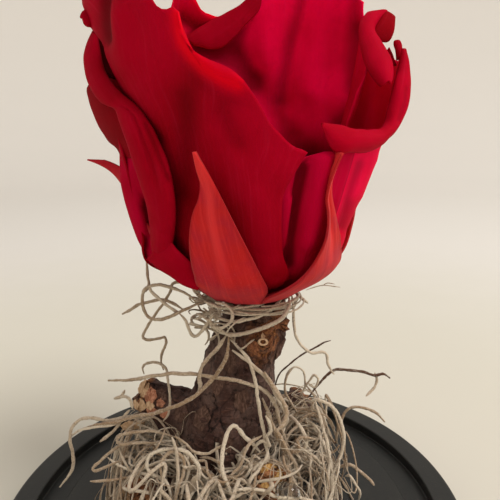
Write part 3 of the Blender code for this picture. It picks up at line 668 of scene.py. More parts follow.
# Folds of single petals and lapels: (mm outwards, width in pixels, line in the photo's pixels). The two middle
# petals at the back share some.
# Besides bending the surface, each fold paints shade into its valley and a highlight onto its ridge; BACK_LINE and
# BACK_FOLDS paint the shade of the dark pockets at the back.
BACK_LINE = ((200, 48), (220, 54), (240, 64), (250, 78))
BACK_FOLDS = ((0.8, 12, ((256, 86), (272, 110), (290, 134))), (1.2, 10, ((240, 32), (234, 50))))
FOLDS = {
    "outer_front": (
        (-1.2, 8, ((104, -20), (104, 0), (105, 22), (108, 40))),
        (0.9, 11, ((120, 15), (120, 40), (126, 62))),
        (0.8, 12, ((150, 5), (156, 25), (166, 45))),
        (-0.7, 16, ((185, 95), (186, 140), (182, 190))),
        (0.9, 14, ((240, 165), (258, 205), (270, 255))),
        (-0.5, 12, ((222, 110), (240, 150), (250, 180))),
        (-0.7, 9, ((103, 74), (118, 95), (138, 113), (156, 139))),
        (1.0, 6, ((183, 34), (190, 48), (202, 62), (218, 73), (240, 81))),
        (-0.3, 8, ((190, 72), (212, 92), (240, 102))),
    ),
    "outer_front_right": (
        (-2.2, 6, ((304, 168), (298, 195), (294, 220), (290, 245), (289, 262))),
        (1.3, 9, ((322, 160), (316, 200), (306, 240))),
        (1.0, 4, ((289, 200), (287, 225), (288, 245))),
    ),
    "outer_right": ((-0.7, 8, ((362, 165), (350, 200), (343, 225))), (0.6, 6, ((372, 160), (358, 195)))),
    "middle_back_right": (
        (1.2, 9, ((304, -20), (298, 10), (290, 40), (284, 70), (280, 100))),
        (-0.9, 11, ((266, -10), (264, 30), (266, 60))),
        (-1.3, 15, ((332, -10), (322, 30), (318, 60), (314, 90))),
        (1.2, 9, ((352, 0), (350, 50), (350, 90))),
        (1.9, 15, BACK_LINE),
        *BACK_FOLDS,
        (1.6, 9, ((362, 30), (366, 62), (372, 84), (352, 108), (336, 124))),
    ),
    "middle_back_left": (
        (1.6, 8, ((184, 18), (196, 24), (206, 28))),
        (2.0, 15, BACK_LINE),
        *BACK_FOLDS,
    ),
    "outer_left_lapel": ((-0.6, 3, ((145, 124), (153, 142), (163, 167), (168, 180))),),
    "guard_left_foot": ((-1.8, 6, ((150, 198), (147, 207), (151, 220))), (-0.7, 4, ((150, 222), (146, 244)))),
    "outer_right_lapel": ((-0.9, 7, ((397, 50), (396, 68))), (-0.4, 3, ((398, 120), (404, 104), (406, 88)))),
}
# Where light shines through a petal's thin margin: how wide, in pixels, and along which line of pixels
GLOWS = {
    "outer_front": (7.0, ((178, 14), (180, 27), (185, 44), (195, 58), (208, 70), (224, 79), (238, 84))),
    "middle_back_left": (3.5, ((190, -6), (203, 8), (216, 18))),
}


def creases(name, points):
    """How far the folds of a petal or lapel move each of its points outwards, in mm."""
    places, shift = seen_at(points), np.zeros(len(points))
    for depth, width, line in FOLDS.get(name, ()):
        shift += depth * bell(to_line(places, line), width)
    return shift


def place_at(obj, points):
    """Moves a mesh's vertices to points in mm."""
    obj.data.vertices.foreach_set("co", (points * MM).ravel())
    obj.data.update()


def sheet_of(name, us, vs, point):
    """A grid whose vertices are bent to point(u, v), in mm; returns it with each vertex's u and v."""
    deselect()
    bpy.ops.mesh.primitive_grid_add(x_subdivisions=len(us) - 1, y_subdivisions=len(vs) - 1, size=2)
    obj = bpy.context.object
    obj.name = name
    flat = np.empty(len(obj.data.vertices) * 3)
    obj.data.vertices.foreach_get("co", flat)
    shares = (flat.reshape(-1, 3) + 1) / 2
    u, v = (np.asarray(t)[np.rint(shares[:, k] * (len(t) - 1)).astype(int)] for k, t in enumerate((us, vs)))
    points = point(u, v)
    place_at(obj, points)
    return obj, u, v, points


def spread(inner, extra=0, bunching=1.0):
    """Places from 0 to 1, closer together near 0, and then on to 2 if there is an extra strip."""
    values = [(i / inner) ** bunching for i in range(inner + 1)]
    return values + [1 + (i + 1) / extra for i in range(extra)]


def thicken(obj, thickness, **values):
    """Makes a sheet solid, after the values that its finish reads at each point."""
    for name, at_points in values.items():
        point_attribute(obj, name, at_points)
    apply_modifier(obj, "SOLIDIFY", thickness=thickness * MM, offset=0)


def make_petal(petal, index, finish):
    width = run_of(petal_sheet(petal, np.linspace(0, 1, 30), np.full(30, 0.7)))
    t = np.linspace(0, 1, 50)
    height = petal_rim(petal, t).max() - CUP_FOOT
    columns, rows = round(width / petal.spacing), round(height / petal.spacing)
    roll = along_table(petal.roll_length, t).max() * (along_table(petal.roll, t).max() > 0)
    roll_rows = max(round(roll / (0.6 * petal.spacing)), 2) if roll else 0
    us, vs = spread(columns), spread(rows, roll_rows, FOOT_BUNCHING)
    obj, u, v, points = sheet_of(petal.name, us, vs, lambda a, b: petal_point(petal, a, b))
    nicks = np.array([noise.noise(Vector((a * width / NICK_SIZE, 7.3 * index, 0))) for a in u])
    points[:, 2] += RIM_NICKS * nicks * np.clip((v - 0.85) * 8, 0, 1)
    out = unit(points * [1, 1, 0] - [ROSE_X, ROSE_Y, 0])
    points += out * folds(points, random.Random(index).uniform(0, 50))[:, None]
    places, shift = seen_at(points), creases(petal.name, points)
    points += out * shift[:, None]
    place_at(obj, points)
    glow = {}
    if petal.name in GLOWS:
        wide, line = GLOWS[petal.name]
        glow["glow"] = bell(to_line(places, line), wide)
    # fold: painted shade in the valleys of the folds and painted highlight on their ridges
    thicken(
        obj, PETAL_THICKNESS, across=(u - 0.5) * width + 90 * index,
        along=np.minimum(v, 1) * height + np.maximum(v - 1, 0) * roll, share=np.minimum(v, 1),
        fold=shift / 1.8 if petal.inside else -shift, **glow,
    )
    dress(obj, petal.name + "_petal", finish, "petal_red", "petal_" + petal.name)


# Folded margins of petals, as bands between two edges. Each place is (pixel across, pixel down, depth in mm).
@dataclass
class Lapel:
    """bulge: how far the band stands out between its edges, in mm, from its start to its end. tucks: how far,
    in degrees, it turns under at its first and at its second edge. crease: depth of a fold beside its second
    edge, from its start to its end. Its shade ramp is painted shade across the band: how far its tint deepens from
    its first edge to its second."""

    name: str
    first: tuple
    second: tuple
    bulge: tuple
    tucks: tuple
    crease: tuple = (0.0, 0.0)
    fade: float = 0.0
    finish: str = "crimson"


LAPELS = (
    Lapel(
        "outer_left_lapel",
        ((94, 31, -1), (87, 50, -2), (86, 64, -3), (91, 84, -6), (102, 101, -10), (116, 108, -14), (122, 122, -16.5),
         (130, 142, -18), (136, 162, -18.5), (143, 183, -18.5), (149, 203, -17.5), (152, 225, -15), (154, 250, -11),
         (158, 261, -9)),
        ((97, 34, -4), (98.5, 50, -6), (102, 68, -9), (112, 86, -13), (126, 99, -17), (140, 112, -20),
         (149, 126, -22.5), (157, 144, -24), (165, 163, -24.5), (170, 185, -24), (173, 206, -23), (173, 228, -20.5),
         (169, 252, -15.5), (165, 262, -11.5)),
        bulge=(0.4, 1.0, 1.2, 1.5, 1.6, 1.6, 1.8, 2.0, 2.0, 2.0, 1.8, 1.6, 1.4, 0.8), tucks=(70, 50),
        crease=(0, 0, 0, 0, 0, 0.4, 1.1, 1.3, 1.1, 0.3, 0, 0, 0, 0),
    ),
    Lapel(
        "guard_left_lapel",
        ((96, 80, 4), (89, 88, 3), (90.5, 98, 2), (93.5, 108, 1), (98, 119, 0), (103.5, 130, -1), (110, 140, -3),
         (117.5, 147, -5), (121.5, 154, -7)),
        ((112, 84, -8), (116, 94, -11), (120, 102, -13), (124, 110, -15), (128, 120, -16), (132, 131, -16.5),
         (136, 141, -17), (139, 151, -17), (140, 159, -16.5)),
        bulge=(1.0, 1.4, 1.5, 1.6, 1.6, 1.4, 1.2, 1.0, 0.8), tucks=(60, 0), finish="shaded",
    ),
    Lapel(
        "guard_left_foot",
        ((121, 150, -7), (121.5, 164, -8), (122, 180, -8), (126, 199, -8), (132, 219, -8), (138, 236, -7),
         (144, 250, -6), (149, 262, -6)),
        ((139, 158, -14.5), (144, 170, -14), (149, 183, -13.5), (153, 200, -13), (157, 222, -12), (160, 238, -10.5),
         (162, 251, -9.5), (166, 263, -9)),
        bulge=(0.8, 1.2, 1.4, 1.5, 1.5, 1.2, 0.8, 0.3), tucks=(60, 0), crease=(0, 0, 0, 0.8, 0.8, 0, 0, 0),
        finish="plum",
    ),
    Lapel(
        "outer_front_foot",
        ((147, 259, -11), (158, 267, -12), (173, 277, -13), (187, 286, -13.5), (198, 289, -13.5)),
        ((168, 236, -17.5), (178, 250, -18.5), (190, 262, -18), (197, 271, -16.5), (203, 280, -15)),
        bulge=(0.4, 0.8, 1.0, 1.0, 0.5), tucks=(40, 0),
    ),
    # A sheet in painted shade: it stands for the shadowed inside of the outer left petal, beside its band.
    Lapel(
        "outer_left_inner_side",
        ((95, 31, 1), (97, 45, 0), (99, 60, -3), (104, 76, -7)),
        ((100, 31, 3), (108, 45, 1), (113, 60, -2), (118, 80, -6)),
        bulge=(0.1, 0.2, 0.2, 0.1), tucks=(0, 0), finish="dark",
    ),
    Lapel(
        "outer_right_lapel",
        ((321, 124, -25.5), (331, 125.5, -24.5), (341, 127.5, -23), (353, 131, -20.5), (366, 131.5, -17),
         (378, 130, -13.5), (386.5, 123, -11), (390, 108, -9.5), (394, 90, -8.5), (399, 72, -7.5), (402.5, 58, -6.5),
         (402.5, 48, -6)),
        ((321.5, 125.5, -26.5), (330, 141, -27), (341, 152, -26), (353, 151, -23.5), (366, 151, -20), (379, 146, -16),
         (390, 136, -12), (399, 123, -9), (406, 107, -7), (408.5, 88, -5), (407.5, 66, -4), (405, 49, -4)),
        bulge=(0.3, 1.4, 2.0, 2.2, 2.2, 2.0, 1.8, 1.6, 1.4, 1.0, 0.6, 0.3), tucks=(60, 35), finish="band",
    ),
    Lapel(
        "middle_right_lapel",
        ((367, 14, 7), (361, 22, 5), (359.5, 33, 3), (361, 46, 0), (365, 60, -4), (371, 72, -7.5), (379, 82, -10),
         (385, 84.5, -11)),
        ((387, 11, 7), (378, 20, 5), (374, 31, 3), (381, 44, 0), (388, 56, -3), (392, 67, -6), (392, 78, -9),
         (389.5, 83.5, -10.5)),
        bulge=(0.6, 1.2, 1.6, 1.8, 2.0, 2.0, 1.4, 0.6), tucks=(50, 50), finish="band",
    ),
    Lapel(
        "middle_right_tip",
        ((372, 33, 4), (377, 25, 4.5), (382, 17, 5.5), (385, 11.5, 7)),
        ((379, 41, 3.5), (388, 41, 4), (393, 32, 5), (394.5, 18, 7)),
        bulge=(0.2, 0.5, 0.6, 0.4), tucks=(0, 20), finish="shaded",
    ),
    Lapel(
        "middle_back_left_fold",
        ((184, 38, 25), (197, 30, 26.5), (209, 22, 28), (226, 13.5, 29.3), (239, 6, 30), (251, -4, 30.6),
         (264, -14, 31.3)),
        ((194, 45, 26.5), (207, 48, 28), (221, 47, 29.4), (233, 38, 30), (243, 27, 30.4), (254, 15, 31),
         (268, 0, 31.6)),
        bulge=(0.3, 0.6, 0.7, 0.6, 0.5, 0.3, 0.1), tucks=(10, 0), fade=-0.8, finish="cherry_dark",
    ),
    Lapel(
        "outer_front_curl",
        ((96, 12, -2), (90, 11, -3), (84, 12, -4), (81, 18, -5)),
        ((96, 30, -4), (92, 26, -5), (88, 25, -6), (84, 23, -6)),
        bulge=(0.5, 1.0, 1.0, 0.8), tucks=(50, 50),
    ),
    Lapel(
        "outer_right_hook",
        ((390, 66, 2), (391, 59, 2), (390, 54, 3), (388, 49.5, 3)),
        ((396, 66, 1), (393.5, 60, 2), (391.5, 53, 2), (389, 48, 3)),
        bulge=(0.3, 0.3, 0.2, 0.1), tucks=(10, 10),
    ),
    Lapel(
        "outer_right_torn_curl",
        ((397, 60, 0), (396.5, 51, 1), (394.5, 45, 2), (394.5, 42, 2.5)),
        ((404, 60, -1), (401.5, 51, 0), (401, 44.5, 1), (399.5, 41.5, 2)),
        bulge=(0.3, 0.6, 0.6, 0.3), tucks=(20, 20),
    ),
)
LAPEL_COLUMNS, LAPEL_ROW = 28, 0.7  # rows are that many mm apart
LAPEL_STEP = 0.02  # share of a lapel over which its direction is measured
LAPEL_EASE = 7  # its tucks run out over one part in so many at its ends
CREASE_TURN, CREASE_WIDTH = 1.05, 0.14  # radians on the arch from its second edge
LAPEL_ROUGHNESS = 0.22


def make_lapel(lapel, finish):
    """A band with an arched section; its edges are smooth curves through their places."""
    edges = [np.array([on_view(*place) for place in edge]) for edge in (lapel.first, lapel.second)]
    length = run_of(edges[0] + edges[1]) / 2
    tucks = np.radians(lapel.tucks)

    def point(u, v):
        first, second = (curve_at(edge, v) for edge in edges)
        ahead = sum(sign * curve_at(edge, v + sign * LAPEL_STEP) for edge in edges for sign in (1, -1))
        chord, middle = second - first, (first + second) / 2
        out = unit(np.cross(unit(chord), unit(ahead)))
        seen = (out * (np.array(CAMERA_PLACE) - middle)).sum(axis=1)
        out = out * np.where(seen < 0, -1, 1)[:, None]
        ease = np.minimum(1.0, LAPEL_EASE * np.minimum(v, 1 - v))
        start, end = math.pi + tucks[0] * ease, -tucks[1] * ease
        turn = start + (end - start) * u
        crease = spline(lapel.crease, v) * bell(turn - CREASE_TURN, CREASE_WIDTH)
        rise = spline(lapel.bulge, v) * np.sin(turn) - crease
        return middle + chord / 2 * np.cos(turn)[:, None] + out * rise[:, None]

    rows = max(round(length / LAPEL_ROW), 8)
    obj, u, v, points = sheet_of(lapel.name, spread(LAPEL_COLUMNS), spread(rows), point)
    points[:, 2] += LAPEL_ROUGHNESS * np.array([grain(p, 2.8, 5.0) for p in points])
    shift = creases(lapel.name, points)
    points[:, 1] -= shift
    place_at(obj, points)
    # painted shade ramp: the tint deepens or lightens from one edge of the band to the other
    share = 0.7 + lapel.fade * (0.4 - u)
    # fold: painted shade in the valleys of the lapel's folds and painted highlight on their ridges
    thicken(obj, PETAL_THICKNESS, across=u * 8, along=v * length, share=share, fold=-shift)
    dress(obj, lapel.name, finish, "petal_red")


@dataclass
class Sepal:
    """left and right: azimuths of its edges from foot to tip. tip: its height. outset, here from foot to tip, and
    tilt: as for a petal, from CALYX. stand_off: how much further out the tip bends, the more suddenly the higher
    hook is. rib and trough: depth of its mid rib and of the fold along it."""

    name: str
    left: tuple
    right: tuple
    tip: float
    outset: tuple = (0.0, 0.0)
    tilt: float = 0.0
    stand_off: float = 1.0
    hook: float = 5.0
    rib: float = 0.5
    trough: float = 0.0


SEPALS = (
    Sepal(
        "front", (-42, -40, -34.7, -30, -28.6, -27.5, -26, -24.2, -22, -18.7, -16.9, -17.3, -17.2),
        (14, 13, 11.8, 7.8, 4.2, 1.1, -1.8, -4.5, -7, -9.4, -11.7, -14.1, -16.6), 108.8, stand_off=1.5,
    ),
    Sepal(
        "front_right", (13, 13.5, 18, 23.9, 28.1, 30.8, 32.1, 32.1, 31, 29, 29, 29.9, 31.1),
        (74, 76, 73, 68, 60, 53, 47.5, 42.6, 38.8, 35.5, 33.6, 32.6, 32.4), 108.5,
        outset=(0.4, 0.8, 0.6, 0.1, -0.2, -0.2), tilt=-1.3, stand_off=0.8, rib=0.0, trough=0.9,
    ),
    Sepal(
        "left", (-122, -124, -124, -123, -122, -120, -117, -112, -106, -100, -96, -94, -93),
        (-74, -70, -66, -63, -60, -58, -57, -60, -68, -79, -87, -91, -92.4), 105.5,
        outset=(0, 0.3, 0.8, 0.6, 0.4, 0.4, 0.4, 0.2, 0), tilt=-2.2, stand_off=6.6, hook=15.0, rib=0.2,
    ),
    Sepal(
        "back_right", (90, 90, 94, 97, 99, 101, 103, 105, 107, 109, 111.5, 113.5, 115),
        (134, 136, 133, 131, 129, 127, 125, 123.5, 122, 120.5, 119, 117.5, 116), 104.0,
        outset=(1.2, 1.2), stand_off=2.0,
    ),
    Sepal(
        "back", (160, 160, 165, 168, 171, 173, 175, 177, 179, 181.5, 184, 186, 187.3),
        (208, 208, 205, 203, 201, 199, 197.5, 196, 194.5, 193, 191.5, 190, 188.4), 106.0,
        outset=(-0.4, -0.4), stand_off=2.5,
    ),
)
SEPAL_FOOT = 72.2
SEPAL_COLUMNS, SEPAL_ROWS = 26, 64


def sepal_point(sepal, u, v):
    height = SEPAL_FOOT + (sepal.tip - SEPAL_FOOT) * v
    radius = ring_radius(CALYX, height + CUP_FOOT - SEPAL_FOOT)
    side = 2 * u - 1
    radius = radius + (spline(sepal.outset, v) + sepal.tilt * side) * np.minimum(1.0, 6 * v)
    radius = radius + sepal.stand_off * v**sepal.hook
    trough = sepal.trough * (bell(side, 0.3) * np.clip((v - 0.35) * 4, 0, 1) * np.clip((1 - v) * 8, 0, 1))
    wave = 0.25 * side**2 * np.sin(9 * v + 3 * side)
    radius = radius + 0.5 * side**2 * (1 - v) + sepal.rib * bell(side, 0.16) * (1 - v) + wave - trough
    return on_axis(spline(sepal.left, v) * (1 - u) + spline(sepal.right, v) * u, radius, height)


def make_sepal(sepal, finish):
    us, vs = spread(SEPAL_COLUMNS), spread(SEPAL_ROWS)
    obj, u, v, points = sheet_of(sepal.name, us, vs, lambda a, b: sepal_point(sepal, a, b))
    half = np.radians(spline(sepal.right, v) - spline(sepal.left, v)) / 2 * ring_radius(CALYX, points[:, 2])
    side, along = 2 * u - 1, v * (sepal.tip - SEPAL_FOOT)
    thicken(obj, SEPAL_THICKNESS, across=side * half, along=along, share=v, edge=np.abs(side))
    dress(obj, sepal.name + "_sepal", finish, "sepal_red", "sepal_" + sepal.name)


# The right petal and the back wall take the paler copies, which are painted light; the front right petal takes plum.
PETAL_FINISHES = {"outer_right": "bright", "outer_front_right": "plum", "middle_back_right": "wall"}


def make_rose():
    # colour of the painted shade deep inside the rose
    heart = srgb(70, 0, 6)
    finishes = {
        "crimson": petal_finish("crimson_petal", srgb(128, 0, 16), srgb(168, 0, 38)),
        "plum": petal_finish("plum_petal", srgb(148, 0, 28), srgb(188, 0, 54)),
        # painted shade: a darker copy of the cherry tint for the fold at the back on the left
        "cherry_dark": petal_finish("cherry_petal_dark", srgb(110, 0, 16), srgb(162, 0, 36)),
        # painted shade: a near-black copy of the crimson for a sheet that stands in for shadow
        "dark": petal_finish("shaded_petal", srgb(62, 0, 8), srgb(84, 0, 14)),
        "cherry": petal_finish("cherry_petal", srgb(148, 0, 26), srgb(214, 0, 54), heart=heart),
        # painted light: a paler copy of the cherry tint for the back wall, where the light falls into the cup
        "wall": petal_finish("cherry_petal_pale", srgb(172, 0, 34), srgb(250, 0, 74), heart=heart),
        # painted light: a brighter copy of the crimson, with stronger veins, for the right side that faces the lamp
        "bright": petal_finish("veined_petal", srgb(206, 0, 42), srgb(240, 6, 70), 0.25),
        # painted light: a lighter copy of the crimson for the rolled rims, which face the light
        "band": petal_finish("rolled_petal", srgb(150, 0, 26), srgb(180, 0, 42)),
        # painted shade: a darker copy of the crimson for the underside of the left flap and the back of the right
        # lobe's tip
        "shaded": petal_finish("deep_petal", srgb(100, 0, 14), srgb(140, 0, 24)),
    }
    for index, petal in enumerate(PETALS):
        finish = PETAL_FINISHES.get(petal.name, "cherry" if petal.inside else "crimson")
        make_petal(petal, index, finishes[finish])
    for lapel in LAPELS:
        make_lapel(lapel, finishes[lapel.finish])
    orange = sepal_finish("sepal_orange_red", srgb(178, 26, 46), srgb(232, 56, 58))
    # the left sepal's tint: darker and less orange than the others, partly its duller dye and partly painted shade on
    # the rose's shaded left side
    dull = sepal_finish("sepal_dull_red", srgb(132, 8, 32), srgb(172, 20, 46))
    for sepal in SEPALS:
        make_sepal(sepal, dull if sepal.name == "left" else orange)
    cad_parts["rose_hip"].data.materials.clear()
    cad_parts["rose_hip"].data.materials.append(orange)


# Base

def top_faces(obj):
    """Goes into edit mode with the topmost faces selected."""
    pick(obj)
    bpy.ops.object.mode_set(mode="EDIT")
    bpy.ops.mesh.select_mode(type="FACE")
    bpy.ops.mesh.select_all(action="DESELECT")
    bpy.ops.object.mode_set(mode="OBJECT")
    top = max(face.center.z for face in obj.data.polygons)
    for face in obj.data.polygons:
        face.select = face.center.z > top - 0.01 * MM
    bpy.ops.object.mode_set(mode="EDIT")


# The base's top, from its rim to its middle: radius and height
BASE_STEPS = ((BASE_RADIUS, BASE_HEIGHT), (SEAT_OUTER_RADIUS, SEAT_HEIGHT), (SEAT_INNER_RADIUS, DISC_TOP))
# Rounding of the base's round edges: radius, height, and share of ROUNDING
ROUNDING = 1.1
ROUND_EDGES = (
    (BASE_RADIUS, BASE_HEIGHT, 1.0), (SEAT_OUTER_RADIUS, BASE_HEIGHT, 0.45), (SEAT_OUTER_RADIUS, SEAT_HEIGHT, 0.27),
    (SEAT_INNER_RADIUS, DISC_TOP, 0.45), (BASE_RADIUS, 0.0, 0.8),
)


def make_base():
    """The turned base: rounded rim, the ring that a dome stands in, and the disc in the middle."""
    deselect()
    bpy.ops.mesh.primitive_cylinder_add(
        vertices=192, radius=BASE_RADIUS * MM, depth=BASE_HEIGHT * MM, location=(0, 0, BASE_HEIGHT / 2 * MM)
    )
    base = bpy.context.object
    settle(base)
    top_faces(base)
    for (outer, above), (inner, below) in zip(BASE_STEPS, BASE_STEPS[1:]):
        bpy.ops.mesh.inset(thickness=(outer - inner) * MM)
        extrude_up((below - above) * MM)
    bpy.ops.object.mode_set(mode="OBJECT")
    weights = []
    for edge in base.data.edges:
        a, b = (base.data.vertices[i].co / MM for i in edge.vertices)
        level = abs(a.z - b.z) < 0.01 and abs(a.xy.length - b.xy.length) < 0.01
        shares = [share for r, z, share in ROUND_EDGES if level and abs(a.xy.length - r) < 0.1 and abs(a.z - z) < 0.1]
        weights.append(sum(shares))
    layer = base.data.attributes.new("bevel_weight_edge", "FLOAT", "EDGE")
    layer.data.foreach_set("value", weights)
    apply_modifier(base, "BEVEL", width=ROUNDING * MM, segments=4, limit_method="WEIGHT")
    dress(base, "turned_base", lacquer_finish(), "black_lacquer", "base_plate")
    apply_modifier(base, "WEIGHTED_NORMAL", weight=100)


# Stump: each limb is (x, y, z, radius) along its middle

LIMBS = (
    (
        (-3.5, -3.0, 8.5, 16.5), (-3.2, -2.5, 17.0, 14.6), (-3.0, -1.8, 28.0, 12.6), (-1.8, -1.0, 39.0, 10.8),
        (0.4, -0.2, 46.0, 9.9), (2.6, 0.4, 52.5, 10.3), (4.2, 0.8, 58.5, 10.0), (5.2, 1.4, 63.5, 8.9),
        (5.8, 2.0, 70.4, 7.4),
    ),
    ((-25.5, 4.5, 41.0, 4.6), (-21.5, 4.0, 39.0, 5.4), (-15.0, 2.5, 35.5, 7.0), (-5.0, 0.0, 29.0, 8.0)),
    ((-23.0, -15.5, 23.5, 4.8), (-19.5, -13.0, 21.5, 5.6), (-12.0, -8.0, 18.0, 7.5), (-4.0, -4.0, 15.0, 9.0)),
    ((9.8, -18.5, 30.0, 4.2), (8.2, -15.0, 27.5, 5.0), (5.0, -9.0, 23.0, 6.5), (1.0, -3.0, 19.0, 8.0)),
    ((21.0, 21.0, 30.0, 4.8), (17.5, 17.5, 27.0, 5.8), (10.0, 10.0, 21.0, 7.5), (1.0, 1.0, 16.0, 9.0)),
)
STUMP_NODES = (
    "stump_trunk", "stump_left_fork", "stump_front_left_root", "stump_front_right_root", "stump_back_right_root",
)
KNOT = Vector((7.6, -8.6, 61.7))
KNOT_SIZE, KNOT_EYE_SIZE = 5.0, 1.2  # mm from its middle to the edge of its scar, and to its first ring
WAIST_HEIGHT, WAIST_REACH, WAIST_DEPTH = 52.5, 5.5, 2.6  # where the right side is slimmer, below the knot
STUMP_TOP = 70.0
BARK_VOXEL = 0.42
LIMB_SIDES = 24


def limb_samples(limb, count):
    return curve_at(limb, np.arange(count) / (count - 1))


def limb_tube(limb):
    samples = limb_samples(limb, 16)
    curve = bpy.data.curves.new("limb", "CURVE")
    curve.dimensions = "3D"
    curve.bevel_depth = MM
    curve.bevel_resolution = (LIMB_SIDES - 4) // 2
    curve.use_fill_caps = True
    path = curve.splines.new("POLY")
    path.points.add(len(samples) - 1)
    for knot, (x, y, z, radius) in zip(path.points, samples):
        knot.co = (x * MM, y * MM, z * MM, 1)
        knot.radius = radius
    pick(linked("limb", curve))
    bpy.ops.object.convert(target="MESH")
    return bpy.context.object


def break_share(point):
    """1 on the broken end of a limb and 0 along its bark."""
    most = 0.0
    for limb in LIMBS[1:]:
        end, before = Vector(limb[0][:3]), Vector(limb[1][:3])
        beyond = (point - end).dot((end - before).normalized())
        if (point - end).length < limb[0][3] * 1.5:
            most = max(most, min(max((beyond + 1.1) / 0.9, 0.0), 1.0))
    return most


def to_knot(point):
    """Distance from the knot's middle, uneven as its scar is."""
    return (point - KNOT).length * (1 + 0.3 * grain(point, 3.0, 12.0))


def crack_at(point, width):
    """1 in the middle of a crack, 0 beside it."""
    return max(0.0, 1 - abs(grain(point, 4.5, 7.0, (1, 1, 1.5)) + 0.3 * grain(point, 1.6, 2.0)) / width)


def bark_shift(point, normal):
    """Bark relief: broad lumps, wrinkles, cracks, ridges that run up the wood, the knot, the waist below it and the
    torn ends."""
    lumps = 0.7 * grain(point, 7.0, 1.3, (1, 1, 1.6))
    wrinkles = 0.34 * grain(point, 2.2, 4.0, (1.6, 1.6, 0.7)) + 0.18 * grain(point, 1.1, 9.0, (1.5, 1.5, 0.8))
    ridges = 0.5 * abs(grain(point, 2.6, 15.0, (1, 1, 3.5)))
    crack = -0.5 * crack_at(point, 0.07)
    far = to_knot(point)
    swell = 1.5 * math.exp(-((far / 5.2) ** 2))
    rings = 0.42 * math.sin(far * 3.4) * math.exp(-((far / 6.0) ** 2)) * (far > KNOT_EYE_SIZE)
    broken = break_share(point)
    waist = -WAIST_DEPTH * math.exp(-(((point.z - WAIST_HEIGHT) / WAIST_REACH) ** 2)) * max(normal.x, 0.0)
    torn = broken * (1.4 * grain(point, 2.0, 3.0) + 0.6 * grain(point, 0.8, 6.0))
    return normal * ((lumps + wrinkles + ridges + crack) * (1 - 0.5 * broken) + swell + rings + torn + waist)


def make_stump():
    """The stump in one mesh: tubes for its limbs, fused, and then shaped by its bark."""
    tubes = [limb_tube(limb) for limb in LIMBS]
    deselect()
    for part in tubes:
        part.select_set(True)
    bpy.context.view_layer.objects.active = tubes[0]
    bpy.ops.object.join()
    obj = bpy.context.object
    apply_modifier(obj, "REMESH", mode="VOXEL", voxel_size=BARK_VOXEL * MM)
    apply_modifier(obj, "SMOOTH", factor=0.6, iterations=8)
    shifted(obj, bark_shift)
    low, high = DISC_TOP * MM, STUMP_TOP * MM
    for vertex in obj.data.vertices:
        vertex.co.z = min(max(vertex.co.z, low), high)
    places = [vertex.co / MM for vertex in obj.data.vertices]
    rings = [0.7 + 0.3 * math.sin(2.6 * to_knot(p)) for p in places]
    point_attribute(obj, "knot", [r * math.exp(-((to_knot(p) / KNOT_SIZE) ** 4)) for p, r in zip(places, rings)])
    point_attribute(obj, "wood", [break_share(p) for p in places])
    point_attribute(obj, "hollow", [crack_at(p, 0.09) for p in places])
    return dress(obj, "root_stump", bark_finish(), "bark", *STUMP_NODES)


# Plates of bark and wood that stand off the stump, as outlines in the photo's pixels
FLAKES = {
    "tan": (
        ((141, 383), (145, 380.5), (149, 384), (148, 391), (145, 396.5), (140, 395.5), (138.5, 389)),
        ((134, 401), (139, 398), (143.5, 401), (146, 407.5), (141, 411), (135, 408)),
        ((147, 402.5), (151, 401), (154.5, 406), (151, 410), (146, 407)),
        ((122, 425), (128, 422), (136, 422.5), (143, 423), (142, 427), (134, 429), (125, 429.5)),
        ((120, 488), (126, 483), (130, 490), (129, 502), (118, 503)),
        ((261, 338), (262, 332), (265, 336), (264.5, 338.5)),
    ),
    "orange": (
        ((148, 391), (151, 387.5), (155.5, 391), (156.5, 397), (153, 402), (149, 404), (146, 400), (145, 396)),
        ((157, 401), (161, 398), (165, 403), (162, 407), (157, 406)),
        ((160, 411), (165, 409), (169, 413), (165, 418), (161, 416)),
        ((147, 409), (153, 408), (158, 411), (154, 415), (148, 414)),
    ),
    "rust": (
        ((268, 323), (275, 317), (283, 315.5), (289, 321), (286, 326), (289, 329), (284, 331), (279, 328), (272, 331)),
        ((255, 333), (261, 325), (269, 323), (268, 330), (261, 334)),
        ((247, 345), (252, 340), (258, 344), (258, 352), (252, 356), (248, 352)),
        ((271, 316), (277, 309), (283, 311), (281, 316), (275, 319)),
        ((269, 340), (273, 335), (276, 341), (274, 350), (270, 352)),
        ((127, 484), (133, 477), (143, 475), (150, 480), (147, 487), (138, 491), (131, 490)),
    ),
    "golden": (
        ((262, 467), (270, 464), (279, 466), (281.5, 476), (277, 488), (268, 487), (257, 486), (253, 481), (257, 474)),
    ),
    "brown": (
        ((133, 398), (138, 394), (141, 397), (137, 401), (134, 404)),
        ((276, 334), (281, 332), (285, 340), (280, 354), (272, 362), (269, 357), (275, 345)),
        ((236, 341), (244, 338), (247, 345), (243, 352), (238, 349)),
        ((156, 391), (163, 389), (168, 394), (166, 401), (159, 398)),
        ((238, 306), (246, 304), (252, 309), (249, 316), (240, 315)),
        ((257, 314), (266, 310), (271, 316), (266, 322), (258, 321)),
        ((226, 352), (233, 350), (236, 362), (230, 376), (225, 368)),
        ((214, 376), (222, 370), (224, 384), (217, 396), (212, 388)),
        ((236, 395), (246, 390), (251, 402), (243, 412), (235, 406)),
        ((196, 412), (205, 406), (210, 418), (202, 430), (194, 424)),
        ((222, 432), (233, 440), (230, 452), (219, 450)),
        ((176, 408), (184, 402), (188, 412), (181, 422), (175, 418)),
    ),
}
FLAKE_GROWTH = 1.12  # size of a plate as a share of its outline's
OUTLINE_STEP = 1.5  # pixels between the points of a plate's edge
FLAKE_ROOT = 1.2  # mm that a plate reaches into the stump
